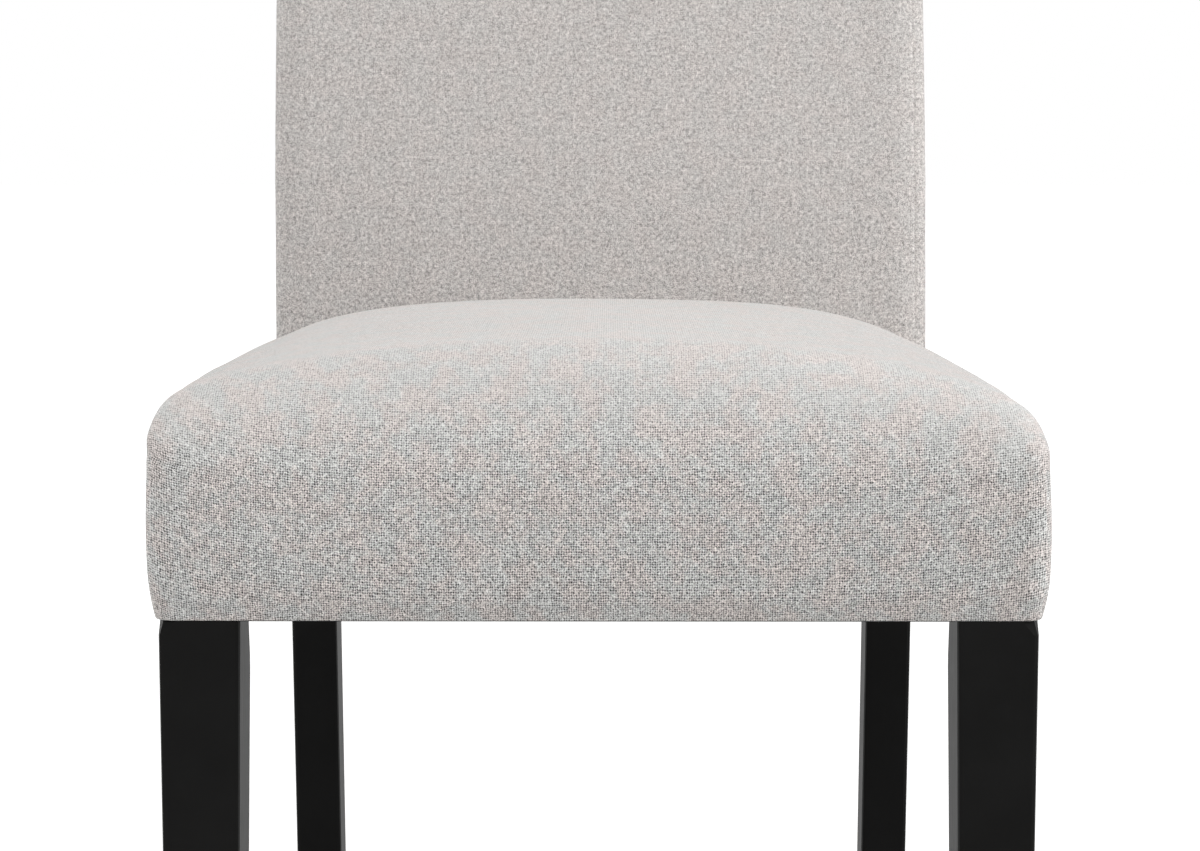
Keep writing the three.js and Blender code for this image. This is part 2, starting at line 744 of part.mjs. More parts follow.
// Outside back: a cloth panel over the board, turned in under the rear rail
function outsideBack() {
  const panel = curvedSlab(panelHalf, [hemHeight, ...stileLevels(panelTop)],
    (z) => panelRearAt(z) - clothThickness, panelRearAt);
  const half = postInner - gap;
  const turnedIn = block(-half, half, seatCoverDepth - flangeWidth, seatCoverDepth - clothThickness / 2,
    hemHeight, hemHeight + clothThickness);
  return joined(panel, turnedIn);
}

function backBoard() {
  const heights = [railBottom, ...stileLevels(chairHeight - backTopRadius)];
  const half = backWidth / 2 - backRearRadius - gap;
  const front = (z) => postRearAt(z) + gap;
  return curvedSlab(half, heights, front, (z) => front(z) + boardThickness);
}

// Black cloth under the seat, cut away at each leg
function dustCover() {
  const top = hemHeight - gap;
  const outline = seatOutline(dustCoverInset).map(({ x, y }) => [x, y]);
  const sheet = prism(outline, top - dustCoverThickness, top);
  const beyond = seatFrontWidth;
  const legBack = frontLegFront + frontLegCalfDepth;
  const legCut = block(frontLegInner - gap, beyond, -overrun, legBack, 0, hemHeight);
  const postCut = block(postInner - gap, beyond, postFront - gap, 2 * seatCoverDepth, 0, hemHeight);
  return cut(sheet, legCut, postCut, reflected(legCut), reflected(postCut));
}

function addFrame() {
  const legBores = boresWhere('end', 'leg');
  const postBores = boresWhere('end', 'post');
  const mortises = Object.values(backRails).map(([centre, height]) => mortise(centre, height));
  addPair('leg_front', cut(frontLeg(), ...legBores, nailBore(...frontFoot)), 'paint');
  addPair('post_rear', cut(rearPost(), ...postBores, ...mortises, nailBore(...rearFoot)), 'paint');

  const screwBores = (part) => Object.values(screwsAt).map((spots) => screwBore(spots[part]));
  addPair('seat_rail', cut(sideRail(), ...boresWhere('rail', 'side'), ...screwBores('side')), 'hardwood');
  const endRail = (name, front, half) => {
    const bores = [...boresWhere('rail', name), screwBore(screwsAt[name].end)];
    const bar = block(gap - half, half - gap, front, front + railThickness, railBottom, railTop);
    addPiece(`seat_rail_${name}`, cut(bar, ...bores, ...bores.map(reflected)), 'hardwood');
  };
  endRail('front', frontLegFront, frontLegInner);
  endRail('rear', rearRailInner, postInner);

  for (const [name, [centre, height]] of Object.entries(backRails)) {
    addPiece(`back_rail_${name}`, backRail(centre, height), 'hardwood');
  }
  for (const [name, spots] of Object.entries(screwsAt)) {
    const bores = Object.values(spots).map(screwBore);
    addPair(`corner_block_${name}`, cut(cornerBlock(...cornerSizes[name]), ...bores), 'hardwood');
    for (const [part, spot] of Object.entries(spots)) {
      addPair(`corner_screw_${name}_${part}`, screw(spot), 'steel');
    }
  }
  for (const joint of dowelJoints) {
    const name = `dowel_${joint.rail}_rail_${joint.end}_${joint.level}`;
    addPair(name, dowel(joint.place, joint.direction), 'dowelWood');
  }
  addPair('glide_front', glide(...frontFoot), 'nylon');
  addPair('glide_rear', glide(...rearFoot), 'nylon');
}

function addUpholstery() {
  addWebbing();
  addPiece('seat_foam', seatFoam(), 'foam');
  addPiece('seat_cover', seatCover(), 'cloth');
  addPiece('back_foam', backFoam(), 'foam');
  addPiece('back_board', backBoard(), 'board');
  addPiece('back_cover', backCover(), 'cloth');
  addPiece('outside_back_cover', outsideBack(), 'cloth');
  addPiece('dust_cover', dustCover(), 'backing');
}

addFrame();
addUpholstery();

// The frame's origin is on the floor under the middle of the chair
const box = new THREE.Box3().setFromObject(chair);
chair.position.y = -(box.min.y + box.max.y) / 2;

export default chair;
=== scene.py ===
import math
import bpy
import numpy as np
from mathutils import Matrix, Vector


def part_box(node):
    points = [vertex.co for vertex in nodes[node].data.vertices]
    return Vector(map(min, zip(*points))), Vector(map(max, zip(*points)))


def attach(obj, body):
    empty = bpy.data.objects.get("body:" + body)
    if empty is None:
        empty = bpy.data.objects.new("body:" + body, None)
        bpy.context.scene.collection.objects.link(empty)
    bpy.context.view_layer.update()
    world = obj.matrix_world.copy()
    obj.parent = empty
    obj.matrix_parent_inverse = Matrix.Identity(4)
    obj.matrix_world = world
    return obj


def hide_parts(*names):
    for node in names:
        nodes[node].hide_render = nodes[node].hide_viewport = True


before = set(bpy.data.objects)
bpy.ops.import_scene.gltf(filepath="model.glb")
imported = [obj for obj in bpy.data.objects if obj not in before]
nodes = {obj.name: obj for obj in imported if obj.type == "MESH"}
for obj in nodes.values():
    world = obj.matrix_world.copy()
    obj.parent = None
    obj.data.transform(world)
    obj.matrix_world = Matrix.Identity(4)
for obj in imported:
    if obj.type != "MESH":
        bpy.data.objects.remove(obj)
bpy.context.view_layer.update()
mm = 0.001
white = (1, 1, 1, 1)

# The pieces are worked out in millimetres from the front of the seat, which stands this far before
# the front legs.
legSetback = 4.0 * mm
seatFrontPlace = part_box("leg_front_left")[0].y - legSetback
print("frame loaded:", len(nodes), "nodes")


# Camera and studio
cameraLook = {
    "place": (0.006, -1.7921, 0.6331),
    "down": 7.0,  # degrees below the level
    "left": 0.2,  # degrees to the left
    "lens": 85.0,
    "sensor": 36.0,
    "reach": 100.0,
}
studio = {
    "skyLevel": 0.02,  # light from all sides
    "skyTop": 0.42,  # more of it from above, by the square of the direction's height
    "background": white,
    "floorColour": (0.5, 0.5, 0.496, 1.0),
    "floorLift": 0.7,  # near the chair, where the floor keeps its shadow
    "farLift": 1.0,
    "liftFrom": 0.9,  # the one passes into the other between these distances
    "liftTo": 2.6,
    "floorSize": 30.0,
    "lamps": {  # place, aim, size and power
        "lampAbove": ((0.35, -0.7, 2.9), (0.0, -0.1, 0.5), 2.4, 49.0),
        "lampFront": ((-0.35, -3.2, 2.0), (0.0, 0.0, 0.5), 2.0, 65.0),
        "lampRight": ((3.0, -0.05, 1.3), (0.0, 0.0, 0.6), 1.6, 76.0),
        "lampLeft": ((-2.9, 0.8, 0.85), (0.0, 0.0, 0.6), 1.6, 52.0),
    },
}


def addObject(name, data):
    thing = bpy.data.objects.new(name, data)
    bpy.context.scene.collection.objects.link(thing)
    return thing


def addCamera():
    data = bpy.data.cameras.new("camera")
    data.lens = cameraLook["lens"]
    data.sensor_width = cameraLook["sensor"]
    data.clip_end = cameraLook["reach"]
    camera = addObject("camera", data)
    camera.location = cameraLook["place"]
    camera.rotation_euler = (math.radians(90 - cameraLook["down"]), 0, math.radians(cameraLook["left"]))
    bpy.context.scene.camera = camera


def addLamps():
    for name, (place, aim, size, power) in studio["lamps"].items():
        data = bpy.data.lights.new(name, "AREA")
        data.shape = "DISK"
        data.size = size
        data.energy = power
        lamp = addObject(name, data)
        lamp.location = place
        lamp.rotation_euler = (Vector(aim) - Vector(place)).to_track_quat("-Z", "Y").to_euler()


# Helpers for node trees. A value is a number, a colour or another node's output.
def join(value, socket):
    if isinstance(value, bpy.types.NodeSocket):
        socket.id_data.links.new(value, socket)
    else:
        socket.default_value = value


def fill(sockets, values):
    for label, value in values.items():
        join(value, sockets[label])


def addNode(tree, kind, *values, **settings):
    # outputs of a new node with these settings, whose first inputs hold the values
    node = tree.nodes.new(kind)
    for name, setting in settings.items():
        setattr(node, name, setting)
    for value, socket in zip(values, node.inputs):
        join(value, socket)
    return node.outputs


def treeOf(*values):
    return next(value.id_data for value in values if isinstance(value, bpy.types.NodeSocket))


def calc(operation, *values):
    return addNode(treeOf(*values), "ShaderNodeMath", *values, operation=operation)[0]


def plus(*values):
    return calc("ADD", *values)


def minus(*values):
    return calc("SUBTRACT", *values)


def times(*values):
    return calc("MULTIPLY", *values)


def blendColours(share, first, second, way="MIX"):
    node = treeOf(share, first, second).nodes.new("ShaderNodeMix")
    node.data_type = "RGBA"
    node.blend_type = way
    for number, value in ((0, share), (6, first), (7, second)):
        join(value, node.inputs[number])
    return node.outputs[2]


def remap(value, fromLow, fromHigh, toLow=0.0, toHigh=1.0, kind="SMOOTHSTEP"):
    return addNode(value.id_data, "ShaderNodeMapRange", value, fromLow, fromHigh, toLow, toHigh,
                   interpolation_type=kind)[0]


def vectorOf(x, y, z=0.0):
    return addNode(treeOf(x, y, z), "ShaderNodeCombineXYZ", x, y, z)[0]


def partsOf(vector):
    return addNode(vector.id_data, "ShaderNodeSeparateXYZ", vector)


def noise(vector, scale, detail=2.0, rough=0.5, flat=False):
    node = vector.id_data.nodes.new("ShaderNodeTexNoise")
    node.noise_dimensions = "2D" if flat else "3D"
    fill(node.inputs, {"Vector": vector, "Scale": scale, "Detail": detail, "Roughness": rough})
    return node.outputs[0]


def bump(height, distance, strength=1.0):
    node = height.id_data.nodes.new("ShaderNodeBump")
    fill(node.inputs, {"Strength": strength, "Distance": distance, "Height": height})
    return node.outputs[0]


def newGroup(name, inputs, outputs):
    # shader node group: an input's value is its usual one, or None for a vector
    tree = bpy.data.node_groups.new(name, "ShaderNodeTree")
    for label, value in inputs.items():
        kind = "NodeSocketVector" if value is None else "NodeSocketFloat"
        socket = tree.interface.new_socket(name=label, in_out="INPUT", socket_type=kind)
        if value is not None:
            socket.default_value = value
    for label in outputs:
        tree.interface.new_socket(name=label, in_out="OUTPUT", socket_type="NodeSocketFloat")
    return tree, tree.nodes.new("NodeGroupInput").outputs, tree.nodes.new("NodeGroupOutput").inputs


def placeGroup(group, place, **values):
    node = place.id_data.nodes.new("ShaderNodeGroup")
    node.node_tree = group
    fill(node.inputs, {"Vector": place, **values})
    return node.outputs


def emptyTree(owner):
    owner.use_nodes = True
    owner.node_tree.nodes.clear()
    return owner.node_tree


def newMaterial(name):
    material = bpy.data.materials.new(name)
    tree = emptyTree(material)
    shader = tree.nodes.new("ShaderNodeBsdfPrincipled")
    addNode(tree, "ShaderNodeOutputMaterial", shader.outputs[0])
    return material, tree, shader.inputs


def showsBackground(tree):
    # 1 for rays from the camera, off gloss and through glass
    rays = addNode(tree, "ShaderNodeLightPath")
    seen = calc("MAXIMUM", rays["Is Camera Ray"], rays["Is Glossy Ray"])
    return calc("MAXIMUM", seen, rays["Is Transmission Ray"])


def addWorld():
    world = bpy.data.worlds.new("studioWorld")
    bpy.context.scene.world = world
    tree = emptyTree(world)
    up = partsOf(addNode(tree, "ShaderNodeTexCoord")["Generated"])[2]
    dome = calc("POWER", calc("MAXIMUM", up, 0.0), 2.0)
    sky = calc("MULTIPLY_ADD", dome, studio["skyTop"], studio["skyLevel"])
    light = addNode(tree, "ShaderNodeBackground", white, sky)[0]
    shown = addNode(tree, "ShaderNodeBackground", studio["background"], 1.0)[0]
    mixed = addNode(tree, "ShaderNodeMixShader", showsBackground(tree), light, shown)[0]
    addNode(tree, "ShaderNodeOutputWorld", mixed)


def addFloor():
    # a plain diffuse plane that keeps the shadow, lifted to white for the rays that show it
    half = studio["floorSize"] / 2
    mesh = bpy.data.meshes.new("floor")
    corners = [(-half, -half, 0), (half, -half, 0), (half, half, 0), (-half, half, 0)]
    mesh.from_pydata(corners, [], [(0, 1, 2, 3)])
    material = bpy.data.materials.new("paleFloor")
    tree = emptyTree(material)
    x, y, _ = partsOf(addNode(tree, "ShaderNodeTexCoord")["Object"])
    away = calc("SQRT", plus(times(x, x), times(y, y)))
    height = remap(away, studio["liftFrom"], studio["liftTo"], studio["floorLift"], studio["farLift"])
    paint = addNode(tree, "ShaderNodeBsdfDiffuse", studio["floorColour"])[0]
    lift = addNode(tree, "ShaderNodeEmission", white, times(showsBackground(tree), height))[0]
    both = addNode(tree, "ShaderNodeAddShader", paint, lift)[0]
    addNode(tree, "ShaderNodeOutputMaterial", both)
    mesh.materials.append(material)
    addObject("floor", mesh)


addCamera()
addWorld()
addLamps()
addFloor()
bpy.context.scene.view_settings.view_transform = "Standard"
print("studio ready")


# Helpers for surfaces. A grid's rows go up and its columns go right, and a ring runs anticlockwise.
def lerp(low, high, share):
    return low + (high - low) * share


def eased(value, low, high):
    # smooth step from 0 at low to 1 at high: 3 t^2 - 2 t^3
    share = np.clip((value - low) / (high - low), 0, 1)
    return share * share * (3 - 2 * share)


def stretches(*parts):
    # rising values from 0: each part is (end, steps) and starts where the last one stopped
    start, values = 0.0, [np.zeros(1)]
    for end, steps in parts:
        values.append(np.linspace(start, end, steps + 1)[1:])
        start = end
    return joined(*values)


def joined(*parts, axis=0):
    return np.concatenate(parts, axis=axis)


def mirrored(away):
    return joined(-away[:0:-1], away)


def travelled(steps, axis=0):
    # way to each point from the first one, given the steps between them
    return np.insert(np.cumsum(steps, axis=axis), 0, 0, axis=axis)


def pointsAt(*parts):
    return np.stack(np.broadcast_arrays(*parts), axis=-1)


def gridQuads(rows, columns):
    cell = np.arange(rows * columns).reshape(rows, columns)
    return pointsAt(cell[:-1, :-1], cell[:-1, 1:], cell[1:, 1:], cell[1:, :-1]).reshape(-1, 4)


def borderOf(rows, columns):
    # row and column numbers round the border of a grid, from the first corner
    right, up = np.arange(columns), np.arange(1, rows)
    left, down = np.arange(columns - 2, -1, -1), np.arange(rows - 2, 0, -1)
    row = joined(np.zeros(columns, int), up, np.full(left.size, rows - 1), down)
    column = joined(right, np.full(up.size, columns - 1), left, np.zeros(down.size, int))
    return row, column


def stacked(grid, rings):
    return joined(grid.reshape(-1, 3), *rings)


def loopsOf(rows, columns, ringCount):
    # point numbers of a grid's border, then of the rings whose points follow the grid's
    row, column = borderOf(rows, columns)
    rings = rows * columns + np.arange(ringCount * row.size).reshape(ringCount, row.size)
    return [row * columns + column, *rings]


def wallsOf(loops):
    # quads between each loop and the next one down, facing outwards
    return joined(*[pointsAt(lower, np.roll(lower, -1), np.roll(upper, -1), upper)
                    for upper, lower in zip(loops, loops[1:])])


def thickened(outer, inner, quads, corners):
    # A sheet and its inner face as one closed body: the quads, the same turned over on the inner points,
    # and a rim along every edge that only one quad uses. corners are their corners' places on the cloth.
    count = len(outer)
    start, end = quads.ravel(), np.roll(quads, -1, axis=1).ravel()
    free = ~np.isin(start * count + end, end * count + start)
    rimStart, rimEnd = start[free], end[free]
    rim = pointsAt(rimEnd, rimStart, rimStart + count, rimEnd + count)
    here = corners.reshape(-1, 2)[free]
    there = np.roll(corners, -1, axis=1).reshape(-1, 2)[free]
    faces = joined(quads, quads[:, ::-1] + count, rim)
    places = joined(corners, corners[:, ::-1], np.stack([there, here, here, there], axis=1))
    return joined(outer, inner), faces, places


def addMesh(name, points, quads, places=None, sharp=60.0):
    # object from arrays: points in millimetres from the seat's front, quads, and places on the cloth
    used, numbers = np.unique(quads, return_inverse=True)
    points = points[used] * mm + np.array([0, seatFrontPlace, 0])
    mesh = bpy.data.meshes.new(name)
    mesh.vertices.add(len(points))
    mesh.vertices.foreach_set("co", points.astype(np.float32).ravel())
    mesh.loops.add(quads.size)
    mesh.loops.foreach_set("vertex_index", numbers.ravel().astype(np.int32))
    mesh.polygons.add(len(quads))
    mesh.polygons.foreach_set("loop_start", np.arange(0, quads.size, quads.shape[1], dtype=np.int32))
    if places is not None:
        layer = mesh.uv_layers.new(name="cloth")
        layer.data.foreach_set("uv", (places * mm).astype(np.float32).ravel())
    mesh.update(calc_edges=True)
    mesh.validate()
    mesh.shade_smooth()
    mesh.set_sharp_from_angle(angle=math.radians(sharp))
    return addObject(name, mesh)


def outwardOf(ring, leastStep=0.03):
    # outward unit vectors in plan; points that lie on top of each other take the direction between
    # those of their neighbours
    along = np.roll(ring, -1, axis=0) - np.roll(ring, 1, axis=0)
    out = pointsAt(along[:, 1], -along[:, 0])
    length = np.linalg.norm(out, axis=1)
    place = np.arange(length.size)
    clear = length > leastStep
    out = pointsAt(*[np.interp(place, place[clear], out[clear, axis] / length[clear]) for axis in (0, 1)])
    return out / np.linalg.norm(out, axis=1, keepdims=True)


# A cloth simulation swells the pads. It works on a closed copy of the pad, and the piece then follows
# what that copy's points have moved, so that its seams, its map and its inner face stay.
swellLook = {
    "voxel": 6.0 * mm,
    "pressure": 4.0,
    "mass": 6.0,
    "stiffness": 30.0,
    "frames": 20,
    "cap": 5.0 * mm,  # the most that a point may move
    "heldUnder": 0.02,  # points with less freedom than this are pinned
    "kept": 0.4,  # share kept of the difference that the swelling leaves to the cut shape
}


def pointsOf(mesh):
    values = np.empty(len(mesh.vertices) * 3, np.float32)
    mesh.vertices.foreach_get("co", values)
    return values.reshape(-1, 3).astype(float)


def movePoints(mesh, points):
    mesh.vertices.foreach_set("co", points.astype(np.float32).ravel())
    mesh.update()


def appliedMesh(piece):
    # the mesh of a piece as its modifiers leave it
    return bpy.data.meshes.new_from_object(piece.evaluated_get(bpy.context.evaluated_depsgraph_get()))


def hullOf(name, grid, rings, floor):
    # closed body: a grid above, the rings down from its border, and a like grid below
    rows, columns = grid.shape[:2]
    loops = loopsOf(rows, columns, len(rings))
    start = rows * columns + len(rings) * loops[0].size
    quads = gridQuads(rows, columns)
    points = stacked(grid, [*rings, floor.reshape(-1, 3)])
    walls = wallsOf([*loops, start + loops[0]])
    return addMesh(name, points, joined(quads, walls, quads[:, ::-1] + start))


def pressed(name, template, start, held):
    # how far the pressure moves each point of a pad that starts from these places, up to the cap:
    # a way of length d becomes cap / sqrt(cap^2 + d^2) of itself
    look, scene = swellLook, bpy.context.scene
    bag = addObject(name, template.copy())
    movePoints(bag.data, start)
    pinned = bag.vertex_groups.new(name="pinned")
    pinned.add(np.flatnonzero(held).tolist(), 1.0, "REPLACE")
    cloth = bag.modifiers.new("swell", "CLOTH")
    cloth.settings.use_pressure = True
    cloth.settings.uniform_pressure_force = look["pressure"]
    cloth.settings.mass = look["mass"]
    cloth.settings.tension_stiffness = look["stiffness"]
    cloth.settings.compression_stiffness = look["stiffness"]
    cloth.settings.vertex_group_mass = pinned.name
    cloth.settings.effector_weights.gravity = 0
    cloth.collision_settings.use_collision = False
    for number in range(1, look["frames"] + 1):
        scene.frame_set(number)
    moved = pointsOf(appliedMesh(bag)) - start
    bpy.data.objects.remove(bag)
    scene.frame_set(1)
    length = np.linalg.norm(moved, axis=1, keepdims=True)
    return moved * look["cap"] / np.sqrt(look["cap"] ** 2 + length ** 2)


def swell(piece, outerCount, hull, shape, rearAt=lambda z: 0):
    # The pad starts smaller by what the pressure would move it, and swells back from there. What each
    # point has then moved counts by its freedom, which goes by smooth steps of its height and depth.
    look = swellLook
    voxels = hull.modifiers.new("voxels", "REMESH")
    voxels.mode = "VOXEL"
    voxels.voxel_size = look["voxel"]
    shell = addObject(piece.name + "_shell", appliedMesh(hull))
    rest = pointsOf(shell.data)
    _, y, z = ((rest - np.array([0, seatFrontPlace, 0])) / mm).T[:, :, None]
    freedom = eased(z, *shape["freeAbove"]) * (1 - eased(y - rearAt(z), *shape["freeBefore"]))
    held = freedom[:, 0] < look["heldUnder"]
    drawnIn = pressed(piece.name + "_trial", shell.data, rest, held) * freedom
    moved = pressed(piece.name + "_bag", shell.data, rest - drawnIn, held) * freedom
    change = (moved - drawnIn) * look["kept"]
    most = np.linalg.norm(change, axis=1).max() / mm
    print(piece.name, "swollen, which left its shape by up to", round(float(most), 1), "mm")

    follow = piece.modifiers.new("follow", "SURFACE_DEFORM")
    follow.target = shell
    outside = piece.vertex_groups.new(name="outside")
    outside.add(list(range(outerCount)), 1.0, "REPLACE")
    follow.vertex_group = outside.name
    with bpy.context.temp_override(object=piece, active_object=piece):
        bpy.ops.object.surfacedeform_bind(modifier=follow.name)
    if not follow.is_bound:
        raise RuntimeError(piece.name + " doesn't follow its shell")
    movePoints(shell.data, rest + change)
    mesh = appliedMesh(piece)
    piece.modifiers.clear()
    piece.vertex_groups.clear()
    piece.data = mesh
    mesh.name = piece.name
    bpy.data.objects.remove(shell)
    bpy.data.objects.remove(hull)


# The back's curve, which the seat's rear edge follows
backShape = {
    "railTop": 418.5,
    "bendLength": 170.0,
    "rake": math.tan(math.radians(13.2)),
    "postFront": 459.8,
    "postDepth": 38.0,
    "postTopDepth": 33.0,
    "woodTop": 982.2,
    "padDepth": 29.8,  # from the wood's front to the cloth's face
    "rearBuild": 4.8,  # from the wood's rear to the cloth's face
    "bottom": 425.0,
    "top": 990.0,
    "crown": 1.6,  # how much the top rises in its middle
    "halfWidth": 221.8,
    "insideHalf": 217.4,
    "gap": 0.3,  # to the wood and to the outside panel
    "cloth": 1.2,
    "bulge": 5.0,
    "bulgeFade": 90.0,
    "edgeWidth": 25.0,  # the front edges round off over this width
    "edgeDepth": 10.0,  # and to this depth
    "bulgeHalf": 211.0,
    "seam": 8.0,  # from the edge to the seam round the front panel
    "seamDepth": 0.5,
    "seamWidth": 0.9,
    "seamCorner": 8.0,
    "seamReach": 18.0,  # how far behind the front face it may lie
    "seamBand": 3.0,  # the columns are finer this far on both sides of it
    "rearRound": 5.0,
    "topRound": 14.0,
    "hemRound": 1.2,
    "hemStep": 0.9,  # cloth between two rings of the hem's round
    "fineAbove": 958.0,  # heights between which the rings are evenly spaced
    "fineBelow": 468.0,
    "ringGap": 2.0,  # half of the step at those heights
    "underInset": 0.5,  # inner face under the top: its sides within the walls'
    "underLift": 0.4,  # its height over the wood
    "underRear": 4.0,  # and its rear before the cloth's face
    "ringStep": 0.01,  # its rings keep this far apart
    "innerLift": 0.2,
    "panelHalf": 213.0,
    "panelTop": 972.0,
    "panelLap": 0.5,
    "shift": 0.4,  # to the picture's left at this height
    "shiftAt": 500.0,
    "tilt": 0.0039,  # and more of it for each millimetre up
    "freeAbove": (492.0, 540.0),  # heights over which the pad comes free of the seat
    "freeBefore": (-34.0, -14.0),  # and depths before the board over which it comes to rest
}


def postFrontAt(z):
    # front of the stile: a parabola over the bend, then the tangent of its rake
    b = backShape
    rise = np.maximum(z - b["railTop"], 0)
    bend = b["rake"] * rise * rise / (2 * b["bendLength"])
    return b["postFront"] + np.where(rise < b["bendLength"], bend, b["rake"] * (rise - b["bendLength"] / 2))


def backFrontAt(z):
    return postFrontAt(z) - backShape["padDepth"]


def backRearAt(z):
    # the stile's front, its depth, which lessens evenly from the rail up, and what lies behind it
    b = backShape
    share = np.maximum(z - b["railTop"], 0) / (b["woodTop"] - b["railTop"])
    return postFrontAt(z) + lerp(b["postDepth"], b["postTopDepth"], share) + b["rearBuild"]


def backFaceAt(x, z):
    # front face of the back's cloth: the curve of the stile less a parabola across the width, and a
    # quarter of an ellipse back along both edges
    b = backShape
    share = np.clip(np.abs(x) / b["bulgeHalf"], 0, 1)
    bulge = b["bulge"] * np.clip((b["top"] - z) / b["bulgeFade"], 0, 1) * (1 - share * share)
    past = np.clip((np.abs(x) - b["halfWidth"] + b["edgeWidth"]) / b["edgeWidth"], 0, 1)
    return backFrontAt(z) - bulge + b["edgeDepth"] * (1 - np.sqrt(1 - past * past))


# Seat cushion: foam with its skirt, and the cloth over it
seatShape = {
    "hem": 344.5,
    "shoulder": 416.0,
    "endRise": 14.0,  # how much higher the shoulder stands at the ends of the front
    "top": 491.0,
    "rearDrop": 6.6,
    "frontPower": 1.86,
    "frontRoot": 3.75,
    "rearPower": 3.2,
    "rearRoot": 2.6,
    "depth": 430.0,
    "coverDepth": 502.6,
    "frontHalf": 242.0,
    "rearHalf": 221.0,
    "roll": 57.0,
    "endRoll": 22.0,  # how much shorter the roll is at its ends
    "rollRoot": 1.65,
    "tuck": 2.6,  # how far the hem is drawn in
    "tuckFrom": 0.7,  # from this share of the wall's height down
    "corner": 14.0,
    "rearCorner": 5.0,
    "leastCorner": 0.5,
    "swell": 1.5,
    "lean": 4.3,  # how much higher the left shoulder of the picture stands, and lower the right
    "hemRound": 1.1,
    "pad": 3.7,
    "cloth": 1.2,
    "ceiling": 421.6,
    "shelf": 424.7,
    "gap": 0.3,  # to the back's face
    "closeFrom": 250.0,  # from this depth the rows close up towards the back's face
    "lip": 3.0,  # the crown turns down over this depth before it
    "lipDrop": 2.2,
    "lipAbove": 6.0,  # where it stands this high over the shelf
    "innerStop": 12.0,  # the inner rows stop this far before it
    "innerSpread": 2.0,  # and keep apart by this
    "tuckSpread": 6.0,
    "tuckReach": 4.0,  # how far the cloth may come forward below the crown
    "sideFrom": 0.96,  # outside this share of the width it comes down straight
    "shelfFrom": 0.9845,  # outside this share it goes on to the rear
    "flange": 14.0,
    "legZone": (185.0, 46.0, 457.0),  # the legs stand outside the first and before or behind the others
    "legFold": 0.7,
    "fold": 1.5,  # inner face at the hem: its height over the cloth
    "foldShare": 0.9,  # how much of it goes at the round
    "foldDrop": 0.4,  # how much lower it lies at the legs
    "slack": 0.05,
    "flangeLift": 0.15,
    "sideMap": 300.0,  # the sides' cloth starts here on the map
    "waves": 0.5,
    "freeAbove": (352.0, 385.0),  # heights over which the pad comes free of the staples at its hem
    "freeBefore": (380.0, 424.0),  # and depths over which it comes to rest against the back
}


def seatHalfAt(y):
    return lerp(seatShape["frontHalf"], seatShape["rearHalf"], y / seatShape["coverDepth"])


def seatPlan(across, y, side=0, front=0, rear=0):
    # Plan of the seat: across from -1 to 1 over the tapering width, less an inset for each side.
    # In each corner a square is drawn in to a disc: x by sqrt(1 - y*y/2), and y by sqrt(1 - x*x/2).
    s = seatShape
    half = seatHalfAt(y) - side
    x = across * half
    y = np.clip(y, front, s["coverDepth"] - rear) + 0 * x
    for radius, fromEnd, way in (
        (s["corner"] - min(side, front), y - front, -1),
        (s["rearCorner"] - min(side, rear), s["coverDepth"] - rear - y, 1),
    ):
        radius = max(radius, s["leastCorner"])
        p = np.clip(1 - (half - np.abs(x)) / radius, 0, 1)
        q = np.clip(1 - fromEnd / radius, 0, 1)
        x = x + np.sign(x) * radius * (p * np.sqrt(1 - q * q / 2) - p)
        y = y + way * radius * (q * np.sqrt(1 - p * p / 2) - q)
    return x, y


def seatHeightAt(across, y):
    # Crown over the shoulder: (1 - a^n)^(1/m) across the width, where n and m change with the square
    # of the depth, times (1 - b^2)^(1/1.65) over the roll behind the front edge. The shoulder's rise,
    # the shorter roll and the lean grow with the fourth power of the way across, and long, low waves
    # of sin times cos make it uneven.
    s = seatShape
    a = np.clip(np.abs(across), 0, 1)
    ends, back = a ** 4, (y / s["depth"]) ** 2
    b = np.clip(1 - y / (s["roll"] - s["endRoll"] * ends), 0, 1)
    shoulder = s["shoulder"] + s["endRise"] * ends
    power, root = lerp(s["frontPower"], s["rearPower"], back), lerp(s["frontRoot"], s["rearRoot"], back)
    arch = (1 - a ** power) ** (1 / root)
    over = (s["top"] - s["rearDrop"] * back - shoulder) * arch * (1 - b * b) ** (1 / s["rollRoot"])
    wave = np.sin(across * 5.1 + y / 47) * np.cos(y / 61 - across * 2.3) * over / (s["top"] - s["shoulder"])
    return shoulder + over - s["lean"] * np.sign(across) * ends + s["waves"] * wave


